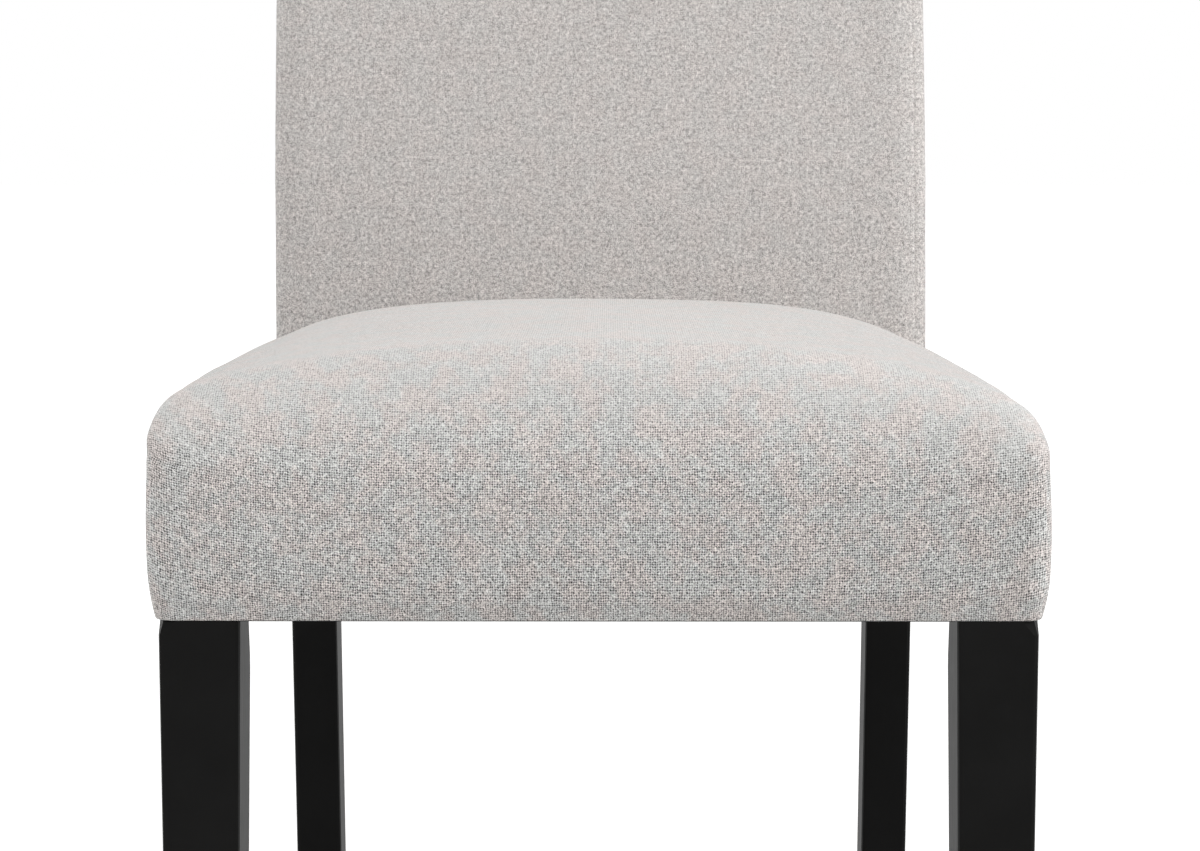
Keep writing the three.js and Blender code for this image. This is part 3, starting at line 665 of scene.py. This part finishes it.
def seatGrid():
    # Outer and inner points of the seat's top, row by row: the crown up to the back's face, with a
    # quarter round down to it, the tuck down along that face, and the narrow shelf on which the
    # back's sides stand.
    s = seatShape
    pad, cloth = s["pad"], s["cloth"]
    across = mirrored(1 - (1 - stretches((1, 56))) ** 2.2)
    crownRows = joined(s["roll"] * stretches((1, 26)) ** 2.2,
                       lerp(s["roll"], s["depth"], stretches((0.9, 50), (1, 10)))[1:])
    a, row = np.meshgrid(across, crownRows)
    endHeight = seatHeightAt(a, s["depth"])
    reach = backFaceAt(a * seatHalfAt(s["depth"]), endHeight) - s["gap"]
    y = row + (reach - s["depth"]) * eased(row, s["closeFrom"], s["depth"])
    z = seatHeightAt(a, y)
    fall = np.clip(1 - (reach - y) / s["lip"], 0, 1)
    z = z - s["lipDrop"] * (1 - np.sqrt(1 - fall * fall)) * (z - s["shelf"] > s["lipAbove"])
    outer = [pointsAt(*seatPlan(a, y), z)]
    innerX, innerY = seatPlan(a, np.minimum(row, s["depth"] - s["innerStop"]), pad, pad, cloth)
    inner = [pointsAt(innerX, innerY + (row / s["depth"]) ** 8 * s["innerSpread"], s["ceiling"])]

    (lastX, lastY, lastZ), lastInner = outer[0][-1].T, inner[0][-1]
    for share in (0.15, 0.4, 0.7, 1.0):
        tuckZ = lerp(lastZ, s["shelf"], share)
        tuckY = backFaceAt(lastX, tuckZ) - s["gap"]
        tuckY = np.where(np.abs(across) > s["sideFrom"], np.maximum(tuckY, lastY), tuckY)
        outer.append(pointsAt(lastX, np.maximum(tuckY, lastY - s["tuckReach"]), tuckZ)[None])
        inner.append((lastInner + np.array([0, share * s["tuckSpread"], 0]))[None])
    tuckEnd = outer[-1][0, :, 1]
    for share in stretches((0.82, 10), (1, 8))[1:]:
        outer.append(pointsAt(*seatPlan(across, lerp(tuckEnd, s["coverDepth"], share)), s["shelf"])[None])
        innerY = lerp(s["depth"] + s["innerSpread"], s["coverDepth"] - cloth, share)
        inner.append(pointsAt(*seatPlan(across, innerY, pad, pad, cloth), s["ceiling"])[None])
    return across, len(crownRows) + 4, joined(*outer), joined(*inner)


def seatCushion():
    # The top and rings down from it: a wall that swells by a sine between shoulder and hem and is drawn
    # in by a square above the hem, a quarter round, and the cloth turned in under the rails.
    s = seatShape
    across, crownCount, top, ceiling = seatGrid()
    rows, columns = top.shape[:2]
    border = borderOf(rows, columns)
    ring, innerRing = top[border], ceiling[border]
    out = outwardOf(ring[:, :2])
    legSide, legBack, postFront = s["legZone"]
    onLeg = (np.abs(ring[:, 0]) > legSide) & ((ring[:, 1] < legBack) | (ring[:, 1] > postFront))
    hemTop, clothTop = s["hem"] + s["hemRound"], s["hem"] + s["cloth"]
    flange = np.where(onLeg, s["pad"], s["flange"])
    flangeTop = np.where(onLeg, s["hem"] + s["legFold"], clothTop)
    rings, innerRings = [], []

    def pushed(base, way, z):
        return pointsAt(*(base[:, :2] + out * np.reshape(way, (-1, 1))).T, z)

    def addRing(way, z, innerWay, innerZ):
        rings.append(pushed(ring, way, z))
        innerRings.append(pushed(innerRing, innerWay, innerZ))

    wallShares = stretches((1, 22))[1:]
    for share in wallShares:
        drawnIn = s["tuck"] * max(share - s["tuckFrom"], 0) ** 2 / (1 - s["tuckFrom"]) ** 2
        addRing(s["swell"] * math.sin(math.pi * share) - drawnIn, lerp(ring[:, 2], hemTop, share),
                0, lerp(s["ceiling"], clothTop + s["fold"], share))
    for angle in np.radians([22.5, 45, 67.5, 90]):
        down, inward = math.sin(angle), 1 - math.cos(angle)
        lift = clothTop + s["fold"] * (1 - s["foldShare"] * down)
        addRing(-s["tuck"] - s["hemRound"] * inward, hemTop - s["hemRound"] * down,
                -s["slack"] * down, np.where(onLeg, lift - s["foldDrop"], lift))
    for share in (0.35, 0.7, 1.0):
        reach = lerp(s["hemRound"] + s["tuck"], flange, share)
        inside = np.maximum(reach - s["pad"], s["slack"] * (share + 1.2))
        addRing(-reach, s["hem"], -inside, lerp(flangeTop + s["flangeLift"], flangeTop, share))

    topQuads, loops = gridQuads(rows, columns), loopsOf(rows, columns, len(rings))
    wallQuads = wallsOf(loops)

    # places on the cloth: along each row and column of the top, and straight down the walls
    steps = np.diff(top, axis=1)
    u = travelled(np.hypot(steps[:, :, 0], steps[:, :, 2]), axis=1)
    steps = np.diff(top, axis=0)
    v = travelled(np.hypot(steps[:, :, 1], steps[:, :, 2]))
    topPlace = pointsAt(u - u[:, [columns // 2]], v).reshape(-1, 2)
    drops = [ring[:, 2] - each[:, 2] + np.abs(each[:, :2] - ring[:, :2]).max(axis=1) for each in rings]
    rearward = np.where(ring[:, 1] > s["coverDepth"] / 2, 1, -1)
    flatRings = [pointsAt(ring[:, 0], v[border] + rearward * drop) for drop in drops]
    steepRings = [pointsAt(np.sign(ring[:, 0]) * (s["sideMap"] + drop), ring[:, 1]) for drop in (0, *drops)]
    flatPlace, steepPlace = joined(topPlace, *flatRings), joined(topPlace, *steepRings[1:])
    steepPlace[loops[0]] = steepRings[0]
    onSide = np.zeros(len(ring), bool)
    onSide[columns - 1:columns + rows - 2] = True
    onSide[2 * columns + rows - 3:] = True
    onSide = np.tile(onSide, len(rings))[:, None, None]
    wallCorners = np.where(onSide, steepPlace[wallQuads], flatPlace[wallQuads])

    # the shelf is open between the sides, and so is the rear wall behind the outside back
    rowOf, columnOf = np.divmod(topQuads[:, 0], columns)
    keepTop = (rowOf < crownCount - 1) | (np.abs(across[:-1] + across[1:])[columnOf] > 2 * s["shelfFrom"])
    middle = (ring + np.roll(ring, -1, axis=0)) / 2
    behind = (middle[:, 1] > s["coverDepth"] - 1) & (np.abs(middle[:, 0]) < backShape["panelHalf"] + s["gap"])
    keepWall = np.tile(~behind, len(rings))
    quads = joined(topQuads[keepTop], wallQuads[keepWall])
    corners = joined(topPlace[topQuads[keepTop]], wallCorners[keepWall])
    outer, inner = stacked(top, rings), stacked(ceiling, innerRings)
    piece = addMesh("seat_cushion", *thickened(outer, inner, quads, corners))
    hull = hullOf("seat_hull", top, rings[:len(wallShares)], top * [1, 1, 0] + [0, 0, hemTop])
    swell(piece, np.unique(quads).size, hull, s)
    return piece


# Back cushion: foam round the stiles, and the cloth over its front, sides and top
def backPlan(across, depthShare, z, inset, level):
    # Plan of the back: a rectangle between the curves of its front and rear at one level, narrower by
    # the inset, with a bulged front and its corners drawn in as the seat's are.
    b = backShape
    half = b["halfWidth"] - inset
    front, rear = backFrontAt(level) + inset, backRearAt(level) - inset
    x, y = across * half, lerp(front, rear, depthShare)
    for width, depth, share, way in (
        (b["edgeWidth"], b["edgeDepth"], 1 - depthShare, -1),
        (b["rearRound"], b["rearRound"], depthShare, 1),
    ):
        width, depth = width - inset * 0.3, depth - inset * 0.3
        p = np.clip(1 - (half - np.abs(x)) / width, 0, 1)
        q = np.clip(1 - (1 - share) * (rear - front) / depth, 0, 1)
        x = x + np.sign(x) * width * (p * np.sqrt(1 - q * q / 2) - p)
        y = y + way * depth * (q * np.sqrt(1 - p * p / 2) - q)
    share = np.clip(np.abs(x) / (b["bulgeHalf"] - inset), 0, 1)
    fade = np.clip((b["top"] - z) / b["bulgeFade"], 0, 1)
    return x, y - b["bulge"] * fade * (1 - share * share) * (1 - depthShare) ** 2


def backInside(across, depthShare, z):
    # inner face of the back's padding at one height: round the stiles and in front of the board
    b = backShape
    y = lerp(postFrontAt(z) - b["gap"], backRearAt(z) - b["cloth"], depthShare)
    return pointsAt(across * b["insideHalf"], y, z)


def sewn(points):
    # The groove of the seam round the front panel is a bell curve of the distance to a rectangle with
    # rounded corners, drawn in front view. The whole also leans a little, as in the picture.
    b = backShape
    x, y, z = points.T
    inward = b["seam"] + b["seamCorner"]
    side, rise = np.abs(x) - b["halfWidth"] + inward, z - b["top"] + inward
    away = np.hypot(np.maximum(side, 0), np.maximum(rise, 0)) + np.minimum(np.maximum(side, rise), 0)
    groove = b["seamDepth"] * np.exp(-((away - b["seamCorner"]) / b["seamWidth"]) ** 2)
    y = y + groove * (y < backFrontAt(z) + b["seamReach"])
    return pointsAt(x - b["shift"] - b["tilt"] * (z - b["shiftAt"]), y, z)


def backCushion():
    # A cap grid with a low crown and rings down from it: a quarter round, the curve of the stiles, and a
    # small quarter round at the hem. The inner face goes under the cap and round the stiles.
    b = backShape
    seamAt = b["halfWidth"] - b["seam"]
    across = mirrored(stretches((b["halfWidth"] - b["edgeWidth"], 26), (seamAt - b["seamBand"], 8),
                                (seamAt + b["seamBand"], 16), (b["halfWidth"], 12)) / b["halfWidth"])
    depthShares = stretches((0.16, 12), (0.9, 14), (1, 8))
    a, d = np.meshgrid(across, depthShares)
    rows, columns = a.shape
    roundStart = b["top"] - b["topRound"]
    crown = b["crown"] * (1 - a * a) * np.clip(4 * d * (1 - d), 0, 1)
    cap = pointsAt(*backPlan(a, d, b["top"], b["topRound"], roundStart), b["top"] - b["crown"] + crown)
    underHalf, underTop = b["insideHalf"] - b["underInset"], b["woodTop"] + b["underLift"]
    woodFront, underRear = postFrontAt(b["woodTop"]) - b["gap"], backRearAt(roundStart) - b["underRear"]
    under = pointsAt(a * underHalf, lerp(woodFront, underRear, d), underTop)

    borderRow, borderColumn = borderOf(rows, columns)
    edgeA, edgeD = across[borderColumn], depthShares[borderRow]
    turns, hemTurns = np.radians(np.linspace(80, 10, 8)), np.radians([45, 90])
    heights = joined(np.linspace(roundStart, b["fineAbove"] + b["ringGap"], 8),
                     np.linspace(b["fineAbove"] - b["ringGap"], b["fineBelow"] + b["ringGap"], 90),
                     np.linspace(b["fineBelow"] - b["ringGap"], b["bottom"] + b["hemRound"], 14))
    hemZ = b["bottom"] + b["hemRound"] * (1 - np.sin(hemTurns))
    ringZ = joined(roundStart + (b["topRound"] - b["crown"]) * np.sin(turns), heights, hemZ)
    insets = joined(b["topRound"] * (1 - np.cos(turns)), 0 * heights, b["hemRound"] * (1 - np.cos(hemTurns)))
    rings = [pointsAt(*backPlan(edgeA, edgeD, z, inset, min(z, roundStart)), z)
             for z, inset in zip(ringZ, insets)]
    innerRings = [pointsAt(edgeA * (underHalf + b["ringStep"] * (number + 10)),
                           lerp(woodFront, underRear + b["underInset"], edgeD),
                           underTop - 2 * b["ringStep"] * number) for number in range(1, turns.size + 1)]
    innerZ = joined(np.minimum(heights, b["woodTop"] + b["innerLift"]), hemZ + b["innerLift"])
    innerRings += [backInside(edgeA, edgeD, z) for z in innerZ]

    topQuads, loops = gridQuads(rows, columns), loopsOf(rows, columns, len(rings))
    wallQuads = wallsOf(loops)

    # places on the cloth: round the widest ring from the middle of the front, and down the curve
    wide = rings[turns.size + 2][:, :2]
    steps = np.linalg.norm(np.roll(wide, -1, axis=0) - wide, axis=1)
    total = steps.sum()
    around = travelled(steps)[:-1]
    around = around - around[columns // 2]
    around[around > total / 2] -= total
    slope = b["rake"] * np.clip((heights - b["railTop"]) / b["bendLength"], 0, 1)
    arc = np.cumsum(joined(b["topRound"] * math.radians(10) * np.ones(turns.size),
                           -np.diff(heights, prepend=roundStart) * np.hypot(1, slope),
                           [b["hemStep"]] * hemTurns.size))
    capPlace = pointsAt(cap[:, :, 0], cap[:, :, 1] - cap[0, :, 1]).reshape(-1, 2)
    wallPlace = joined(capPlace, *[pointsAt(around, -down) for down in arc])
    wallPlace[loops[0]] = pointsAt(around, 0)
    wallCorners = wallPlace[wallQuads]
    wrapped = np.ptp(wallCorners[:, :, 0], axis=1) > total / 2
    wallCorners[:, :, 0] += total * (wrapped[:, None] & (wallCorners[:, :, 0] < 0))

    # the rear wall is open behind the outside back
    middle = (wide + np.roll(wide, -1, axis=0)) / 2
    isRear = np.minimum(edgeD, np.roll(edgeD, -1)) > 0.99
    behind = isRear & (np.abs(middle[:, 0]) < b["panelHalf"] + b["gap"])
    belowTop = joined([b["top"]], ringZ[:-1]) < b["panelTop"] + b["panelLap"]
    keep = ~(np.tile(behind, len(rings)) & np.repeat(belowTop, edgeA.size))
    quads, corners = joined(topQuads, wallQuads[keep]), joined(capPlace[topQuads], wallCorners[keep])
    outer, inner = sewn(stacked(cap, rings)), stacked(under, innerRings)
    piece = addMesh("back_cushion", *thickened(outer, inner, quads, corners))
    floor = pointsAt(*backPlan(a, d, b["bottom"], 0, b["bottom"]), b["bottom"])
    hull = hullOf("back_hull", cap, rings, floor)
    swell(piece, np.unique(quads).size, hull, b, backRearAt)
    return piece


# Outside back: one stretched panel, turned in at its ends
panelLook = {
    "thickness": 1.2,
    "roll": 0.9,  # radius of its edges
    "under": 16.0,  # how far it goes in under the rail
    "underHalf": 184.9,
    "underRows": 6,
    "hemRows": 8,
    "straightTop": 422.0,
    "rowGap": 2.0,  # half of the step there
    "lift": 0.2,
    "inset": 0.0006,  # share by which the inner face is narrower
}


def outsideBack():
    # A profile carried across the width: in under the rail, round the hem and up the curve of the
    # board, with a quarter round at the hem, at the top and along both edges.
    b, p = backShape, panelLook
    half, roll, low, top = b["panelHalf"], p["roll"], seatShape["hem"], b["panelTop"]
    across = mirrored(1 - (1 - stretches((0.9, 24), (1, 8))) ** 1.4)
    heights = joined(np.linspace(low + roll, p["straightTop"] - p["rowGap"], 24),
                     np.linspace(p["straightTop"] + p["rowGap"], top - roll, 110))
    hemTurns, topTurns = np.radians([60, 30]), np.radians([30, 60, 90])
    profileY = joined(backRearAt(low) + np.linspace(-p["under"], -roll, p["underRows"]),
                      backRearAt(low) - roll + roll * np.cos(hemTurns), backRearAt(heights),
                      backRearAt(top) - roll + roll * np.cos(topTurns))
    profileZ = joined(np.full(p["underRows"], low), low + roll - roll * np.sin(hemTurns), heights,
                      top - roll + roll * np.sin(topTurns))
    a, row = np.meshgrid(across, np.arange(profileY.size))
    isUnder = row < p["underRows"]
    x, y, z = a * np.where(isUnder, p["underHalf"], half), profileY[row], profileZ[row]
    fromEdge = np.clip(1 - (half - np.abs(x)) / roll, 0, 1)
    outer = pointsAt(x, y - roll * (1 - np.sqrt(1 - fromEdge * fromEdge)) * ~isUnder, z)
    inward = p["thickness"] * 0.97
    innerY = np.minimum(np.where(isUnder, y + p["lift"], y - inward), backRearAt(z) - inward)
    innerZ = np.where(row < p["hemRows"], z + p["thickness"] * 0.9, z)
    inner = pointsAt(x * (1 - p["inset"]), innerY, innerZ)
    quads = gridQuads(*x.shape)[:, ::-1]
    v = travelled(np.hypot(np.diff(profileY), np.diff(profileZ)))
    places = pointsAt(-x, v[row]).reshape(-1, 2)
    points, faces, corners = thickened(outer.reshape(-1, 3), inner.reshape(-1, 3), quads, places[quads])
    piece = addMesh("outside_back", points, faces, corners)
    return piece


# Dust cover under the seat
dustLook = {
    "inset": 6.0,
    "drop": 0.3,
    "thickness": 0.5,
    "sag": 2.6,
    "sagHalf": 215.0,
    "legSide": 191.8,
    "legBack": 52.4,
    "postSide": 185.1,
    "postFront": 459.4,
    "flat": (0.47, 0.491),
}


def dustCover():
    # a flat sheet under the rails, with its corners cut away at the legs and a slight sag that is the
    # product of two parabolas
    d, s = dustLook, seatShape
    rear = s["coverDepth"] - d["inset"]
    down = d["inset"] + stretches((d["legBack"] - d["inset"], 4), (d["postFront"] - d["inset"], 49),
                                  (rear - d["inset"], 4))
    core, y = np.meshgrid(mirrored(stretches((d["postSide"], 30), (d["legSide"], 1))), down)
    right = lerp(d["legSide"], seatHalfAt(down[:, None]) - d["inset"], stretches((1, 6))[1:])
    x = joined(-right[:, ::-1], core, right, axis=1)
    y = down[:, None] + 0 * x
    share = (y - d["inset"]) / (rear - d["inset"])
    sag = d["sag"] * np.clip(1 - (x / d["sagHalf"]) ** 2, 0, 1) * np.clip(4 * share * (1 - share), 0, 1)
    upper = pointsAt(x, y, s["hem"] - d["drop"] - sag).reshape(-1, 3)
    quads = gridQuads(*x.shape)
    middleX, middleY, _ = np.abs(upper[quads].mean(axis=1)).T
    atLeg = (middleX > d["legSide"]) & (middleY < d["legBack"])
    atPost = (middleX > d["postSide"]) & (middleY > d["postFront"])
    quads = quads[~(atLeg | atPost)]
    lower = upper - np.array([0, 0, d["thickness"]])
    piece = addMesh("dust_sheet", *thickened(upper, lower, quads, upper[quads][:, :, :2]))
    return piece


seat, back = seatCushion(), backCushion()
print("cushions ready:", len(seat.data.polygons), "and", len(back.data.polygons), "faces")
outside, dust = outsideBack(), dustCover()
for piece, finish, cad in (
    (seat, "upholstery_cloth", ("seat_cover", "seat_foam")),
    (back, "upholstery_cloth", ("back_cover", "back_foam")),
    (outside, "upholstery_cloth", ("outside_back_cover",)),
    (dust, "dust_cloth", ("dust_cover",)),
):
    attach(piece, "root")
    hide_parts(*cad)
print("sheets ready")


# Materials
weaveLook = {
    "warp": 1.31 * mm,
    "weft": 1.34 * mm,
    "drift": 260.0,
    "unevenness": 0.6,
    "patches": 52.0,
    "mottle": 430.0,
}


def buildWeave():
    # Plain weave. Warp height is |sin(pi u)| times (1 + cos(pi (v - 1/2 + thread number))) / 2, weft
    # height is the same turned round and one thread on, and the surface is the higher of the two.
    # Flecks are one chance value for each small cell of yarn.
    w = weaveLook
    tree, given, put = newGroup("plainWeave", {
        "Vector": None, "Warp": w["warp"], "Weft": w["weft"], "Unevenness": w["unevenness"], "Flecks": 2.0,
    }, ("Height", "Gap", "Fleck", "Yarn", "Mottle", "Tint"))
    place = given["Vector"]
    x, y, _ = partsOf(place)
    drift = times(minus(noise(place, w["drift"], 1.0, flat=True), 0.5), given["Unevenness"])
    u = plus(calc("DIVIDE", x, given["Warp"]), drift)
    v = minus(calc("DIVIDE", y, given["Weft"]), drift)
    warpNumber, weftNumber = calc("FLOOR", u), calc("FLOOR", v)

    def thread(own, other, number):
        roundness = calc("ABSOLUTE", calc("SINE", times(own, math.pi)))
        phase = plus(minus(other, 0.5), number)
        return times(roundness, calc("MULTIPLY_ADD", calc("COSINE", times(phase, math.pi)), 0.5, 0.5))

    def chance(across, up):
        cell = vectorOf(calc("FLOOR", across), calc("FLOOR", up))
        return addNode(tree, "ShaderNodeTexWhiteNoise", cell, noise_dimensions="2D")[0]

    def tone(across, up):
        # each thread has its own tone, which also drifts along it
        return noise(vectorOf(across, up), 1.0, 1.0, flat=True)

    height = calc("MAXIMUM", thread(u, v, warpNumber), thread(v, u, plus(weftNumber, 1.0)))
    opening = calc("MULTIPLY_ADD", chance(plus(u, 0.5), plus(v, 0.5)), 0.85, 0.15)
    warpTone = tone(times(warpNumber, 7.31), times(v, 0.17))
    weftTone = tone(times(u, 0.17), times(weftNumber, 5.77))
    fill(put, {
        "Height": height,
        # where gaps open between the threads, which the cloth and the webbing darken as painted shade
        "Gap": times(remap(height, 0.12, 0.62, 1.0, 0.0, "LINEAR"), opening),
        "Fleck": chance(times(u, given["Flecks"]), times(v, given["Flecks"])),
        "Yarn": times(plus(warpTone, weftTone), 0.5),
        "Mottle": noise(place, w["mottle"], 1.0, flat=True),
        "Tint": noise(vectorOf(times(x, w["patches"]), times(y, w["patches"])), 1.0, 4.0, 0.68, flat=True),
    })
    return tree


clothLook = {
    "cool": (0.968, 1.004, 1.015, 1),
    "warm": (1.030, 0.988, 0.981, 1),
    "upward": 0.58,  # painted light: how much of the contrast goes where the cloth faces up and light fills its gaps
    "upwardFrom": 0.78,  # and it is all gone at this height of the normal
    "meanGap": 0.156,
    "flecks": 2.0,
    "relief": 0.3 * mm,
    # gap is the strength of the painted shade in the gaps between threads
    "seat": {"base": (0.455, 0.438, 0.425, 1), "fleck": 0.9, "gap": 2.1, "yarn": 0.2, "mottle": 0.1,
             "tint": 1.0, "relief": 0.5, "sheen": 0.12},
    # painted shade: the back's base is the seat's made about 3% darker, fitted along with the lamps, and a
    # little pinker
    "back": {"base": (0.443, 0.420, 0.406, 1), "fleck": 0.66, "gap": 0.15, "yarn": 0.5, "mottle": 0.8,
             "tint": 0.25, "relief": 0.25, "sheen": 0.1},
}


def clothMaterial(name, weave, look):
    # Woven cloth: base tone times flecks and painted shade in the gaps between threads, both fading by a
    # smooth step of the normal's z, which paints the light that fills the gaps of cloth facing up; wide
    # patches are tinted cool and warm.
    material, tree, shader = newMaterial(name)
    cloth = placeGroup(weave, addNode(tree, "ShaderNodeUVMap", uv_map="cloth")[0], Flecks=clothLook["flecks"])
    up = partsOf(addNode(tree, "ShaderNodeNewGeometry")["Normal"])[2]
    # painted light: the contrast fades as the normal turns up
    paintedLightFade = remap(up, 0.0, clothLook["upwardFrom"], 1.0, 1.0 - clothLook["upward"])
    fleck = times(minus(cloth["Fleck"], 0.5), look["fleck"])
    yarn = times(minus(cloth["Yarn"], 0.5), look["yarn"])
    mottle = times(minus(cloth["Mottle"], 0.5), look["mottle"])
    # painted shade in the gaps between threads, less of it where the painted light fills them
    gapShade = times(times(minus(cloth["Gap"], clothLook["meanGap"]), look["gap"]), paintedLightFade)
    light = times(calc("MULTIPLY_ADD", plus(plus(fleck, yarn), mottle), paintedLightFade, 1.0), minus(1.0, gapShade))
    tint = blendColours(remap(cloth["Tint"], 0.38, 0.62), clothLook["cool"], clothLook["warm"])
    coloured = blendColours(look["tint"], look["base"], tint, "MULTIPLY")
    fill(shader, {
        "Base Color": blendColours(1.0, coloured, vectorOf(light, light, light), "MULTIPLY"),
        "Roughness": 0.95,
        "Specular IOR Level": 0.15,
        "Sheen Weight": look["sheen"],
        "Sheen Roughness": 0.5,
        "Normal": bump(cloth["Height"], clothLook["relief"], look["relief"]),
    })
    return material


def buildGrain():
    # wood: rings as a noise drawn out along the piece, with fine pores as a second, longer one
    tree, given, put = newGroup("woodGrain", {"Vector": None, "Scale": 60.0}, ("Grain", "Pores"))
    x, y, z = partsOf(given["Vector"])
    bend = noise(vectorOf(x, y, times(z, 0.07)), given["Scale"], 3.0, 0.55)
    rings = calc("PINGPONG", calc("FRACT", times(bend, 7.0)), 0.5)
    pores = noise(vectorOf(x, y, times(z, 0.03)), times(given["Scale"], 22.0), 2.0, 0.6)
    fill(put, {"Grain": times(rings, 2.0), "Pores": pores})
    return tree


def objectPlace(tree, turn=(0, 0, 0)):
    mapping = tree.nodes.new("ShaderNodeMapping")
    fill(mapping.inputs, {"Vector": addNode(tree, "ShaderNodeTexCoord")["Object"],
                          "Rotation": [math.radians(angle) for angle in turn]})
    return mapping.outputs[0]


def paintMaterial(grain):
    # satin black lacquer over wood: the grain only shows as a faint relief and a shift of gloss
    material, tree, shader = newMaterial("satinBlackLacquer")
    place = objectPlace(tree)
    wood = placeGroup(grain, place, Scale=70.0)
    cloud = remap(noise(place, 22.0, 3.0, 0.6), 0.35, 0.7)
    fill(shader, {
        "Base Color": blendColours(cloud, (0.0030, 0.0029, 0.0028, 1), (0.0046, 0.0045, 0.0044, 1)),
        "Roughness": remap(wood["Pores"], 0.3, 0.7, 0.44, 0.5),
        "Specular IOR Level": 0.07,
        "Normal": bump(calc("MULTIPLY_ADD", wood["Pores"], 0.6, wood["Grain"]), 0.06 * mm, 0.35),
    })
    return material


woodLook = {
    "alongSeat": (90, 0, 0),  # turns that lay the grain along the piece
    "acrossSeat": (0, 90, 0),
    "rail": {"pale": (0.56, 0.385, 0.215, 1), "deep": (0.40, 0.25, 0.125, 1), "scale": 60.0},
    "dowel": {"pale": (0.66, 0.48, 0.28, 1), "deep": (0.52, 0.35, 0.18, 1), "scale": 160.0},
}


def woodMaterial(kind, way, grain):
    # bare wood: two tones by the grain, and pores that are 0.45 times the deeper one
    look = woodLook[kind]
    material, tree, shader = newMaterial(kind + "Wood" + way.title())
    wood = placeGroup(grain, objectPlace(tree, woodLook[way + "Seat"]), Scale=look["scale"])
    poreTone = (*[0.45 * part for part in look["deep"][:3]], 1)
    colour = blendColours(wood["Grain"], look["pale"], look["deep"])
    fill(shader, {
        "Base Color": blendColours(remap(wood["Pores"], 0.55, 0.75, 0.0, 0.5), colour, poreTone),
        "Roughness": remap(wood["Pores"], 0.3, 0.7, 0.6, 0.78),
        "Normal": bump(wood["Pores"], 0.15 * mm, 0.4),
    })
    return material


def strapMaterial(weave):
    # jute webbing: a coarse weave in two tones that change by a sine of the way along, with painted shade in
    # its gaps
    material, tree, shader = newMaterial("webbing")
    place = objectPlace(tree)
    cloth = placeGroup(weave, place, Warp=2.4 * mm, Weft=1.8 * mm)
    x, y, _ = partsOf(place)
    stripe = remap(calc("SINE", times(plus(x, y), 900.0)), 0.2, 0.6)
    colour = blendColours(stripe, (0.09, 0.075, 0.06, 1), (0.17, 0.14, 0.11, 1))
    fill(shader, {
        # painted shade: the gaps between the threads are darkened
        "Base Color": blendColours(cloth["Gap"], colour, (0.03, 0.025, 0.02, 1)),
        "Roughness": 0.85,
        "Normal": bump(cloth["Height"], 0.4 * mm, 0.6),
    })
    return material


def liningMaterial():
    # black non-woven lining: pressed dots on a fine fibre noise
    material, tree, shader = newMaterial("blackLining")
    place = objectPlace(tree)
    dots = tree.nodes.new("ShaderNodeTexVoronoi")
    fill(dots.inputs, {"Vector": place, "Scale": 620.0, "Randomness": 0.25})
    pressing = remap(dots.outputs["Distance"], 0.15, 0.4)
    fibre = remap(noise(place, 1500.0, 3.0, 0.7), 0.4, 0.7)
    colour = blendColours(pressing, (0.022, 0.022, 0.023, 1), (0.010, 0.010, 0.011, 1))
    fill(shader, {
        "Base Color": blendColours(fibre, colour, (0.03, 0.03, 0.032, 1)),
        "Roughness": 0.8,
        "Normal": bump(pressing, 0.15 * mm, 0.5),
    })
    return material


def plainMaterial(name, first, second, rough, scale, metallic=0.0, depth=0.03):
    # moulded or drawn surface: two close tones in soft clouds, gloss that varies with fine scuffs
    material, tree, shader = newMaterial(name)
    place = objectPlace(tree)
    cloud = remap(noise(place, scale, 4.0, 0.6), 0.35, 0.65)
    scuff = noise(place, scale * 9, 2.0, 0.6)
    fill(shader, {
        "Base Color": blendColours(cloud, first, second),
        "Roughness": remap(scuff, 0.35, 0.7, rough - 0.06, rough + 0.08),
        "Metallic": metallic,
        "Normal": bump(scuff, depth * mm, 0.4),
    })
    return material


weave, grain = buildWeave(), buildGrain()
seatCloth = clothMaterial("seatCloth", weave, clothLook["seat"])
backCloth = clothMaterial("backCloth", weave, clothLook["back"])
for piece, material in ((seat, seatCloth), (back, backCloth), (outside, backCloth), (dust, liningMaterial())):
    piece.data.materials.append(material)

steelTones = (0.52, 0.52, 0.53, 1), (0.43, 0.44, 0.46, 1)
boardTones = (0.24, 0.14, 0.07, 1), (0.17, 0.095, 0.045, 1)
nylonTones = (0.022, 0.022, 0.024, 1), (0.032, 0.032, 0.034, 1)
dressing = {
    ("leg_", "post_"): paintMaterial(grain),
    ("seat_rail_left", "seat_rail_right", "corner_block"): woodMaterial("rail", "along", grain),
    ("seat_rail_front", "seat_rail_rear", "back_rail"): woodMaterial("rail", "across", grain),
    ("dowel_front", "dowel_rear"): woodMaterial("dowel", "across", grain),
    ("dowel_side",): woodMaterial("dowel", "along", grain),
    ("corner_screw",): plainMaterial("zincSteel", *steelTones, 0.34, 400.0, metallic=1.0),
    ("webbing",): strapMaterial(weave),
    ("back_board",): plainMaterial("hardboard", *boardTones, 0.72, 160.0, depth=0.1),
    ("glide",): plainMaterial("blackNylon", *nylonTones, 0.45, 120.0),
}
for starts, material in dressing.items():
    for name, piece in nodes.items():
        if name.startswith(starts):
            piece.data.materials.clear()
            piece.data.materials.append(material)
print("materials ready")
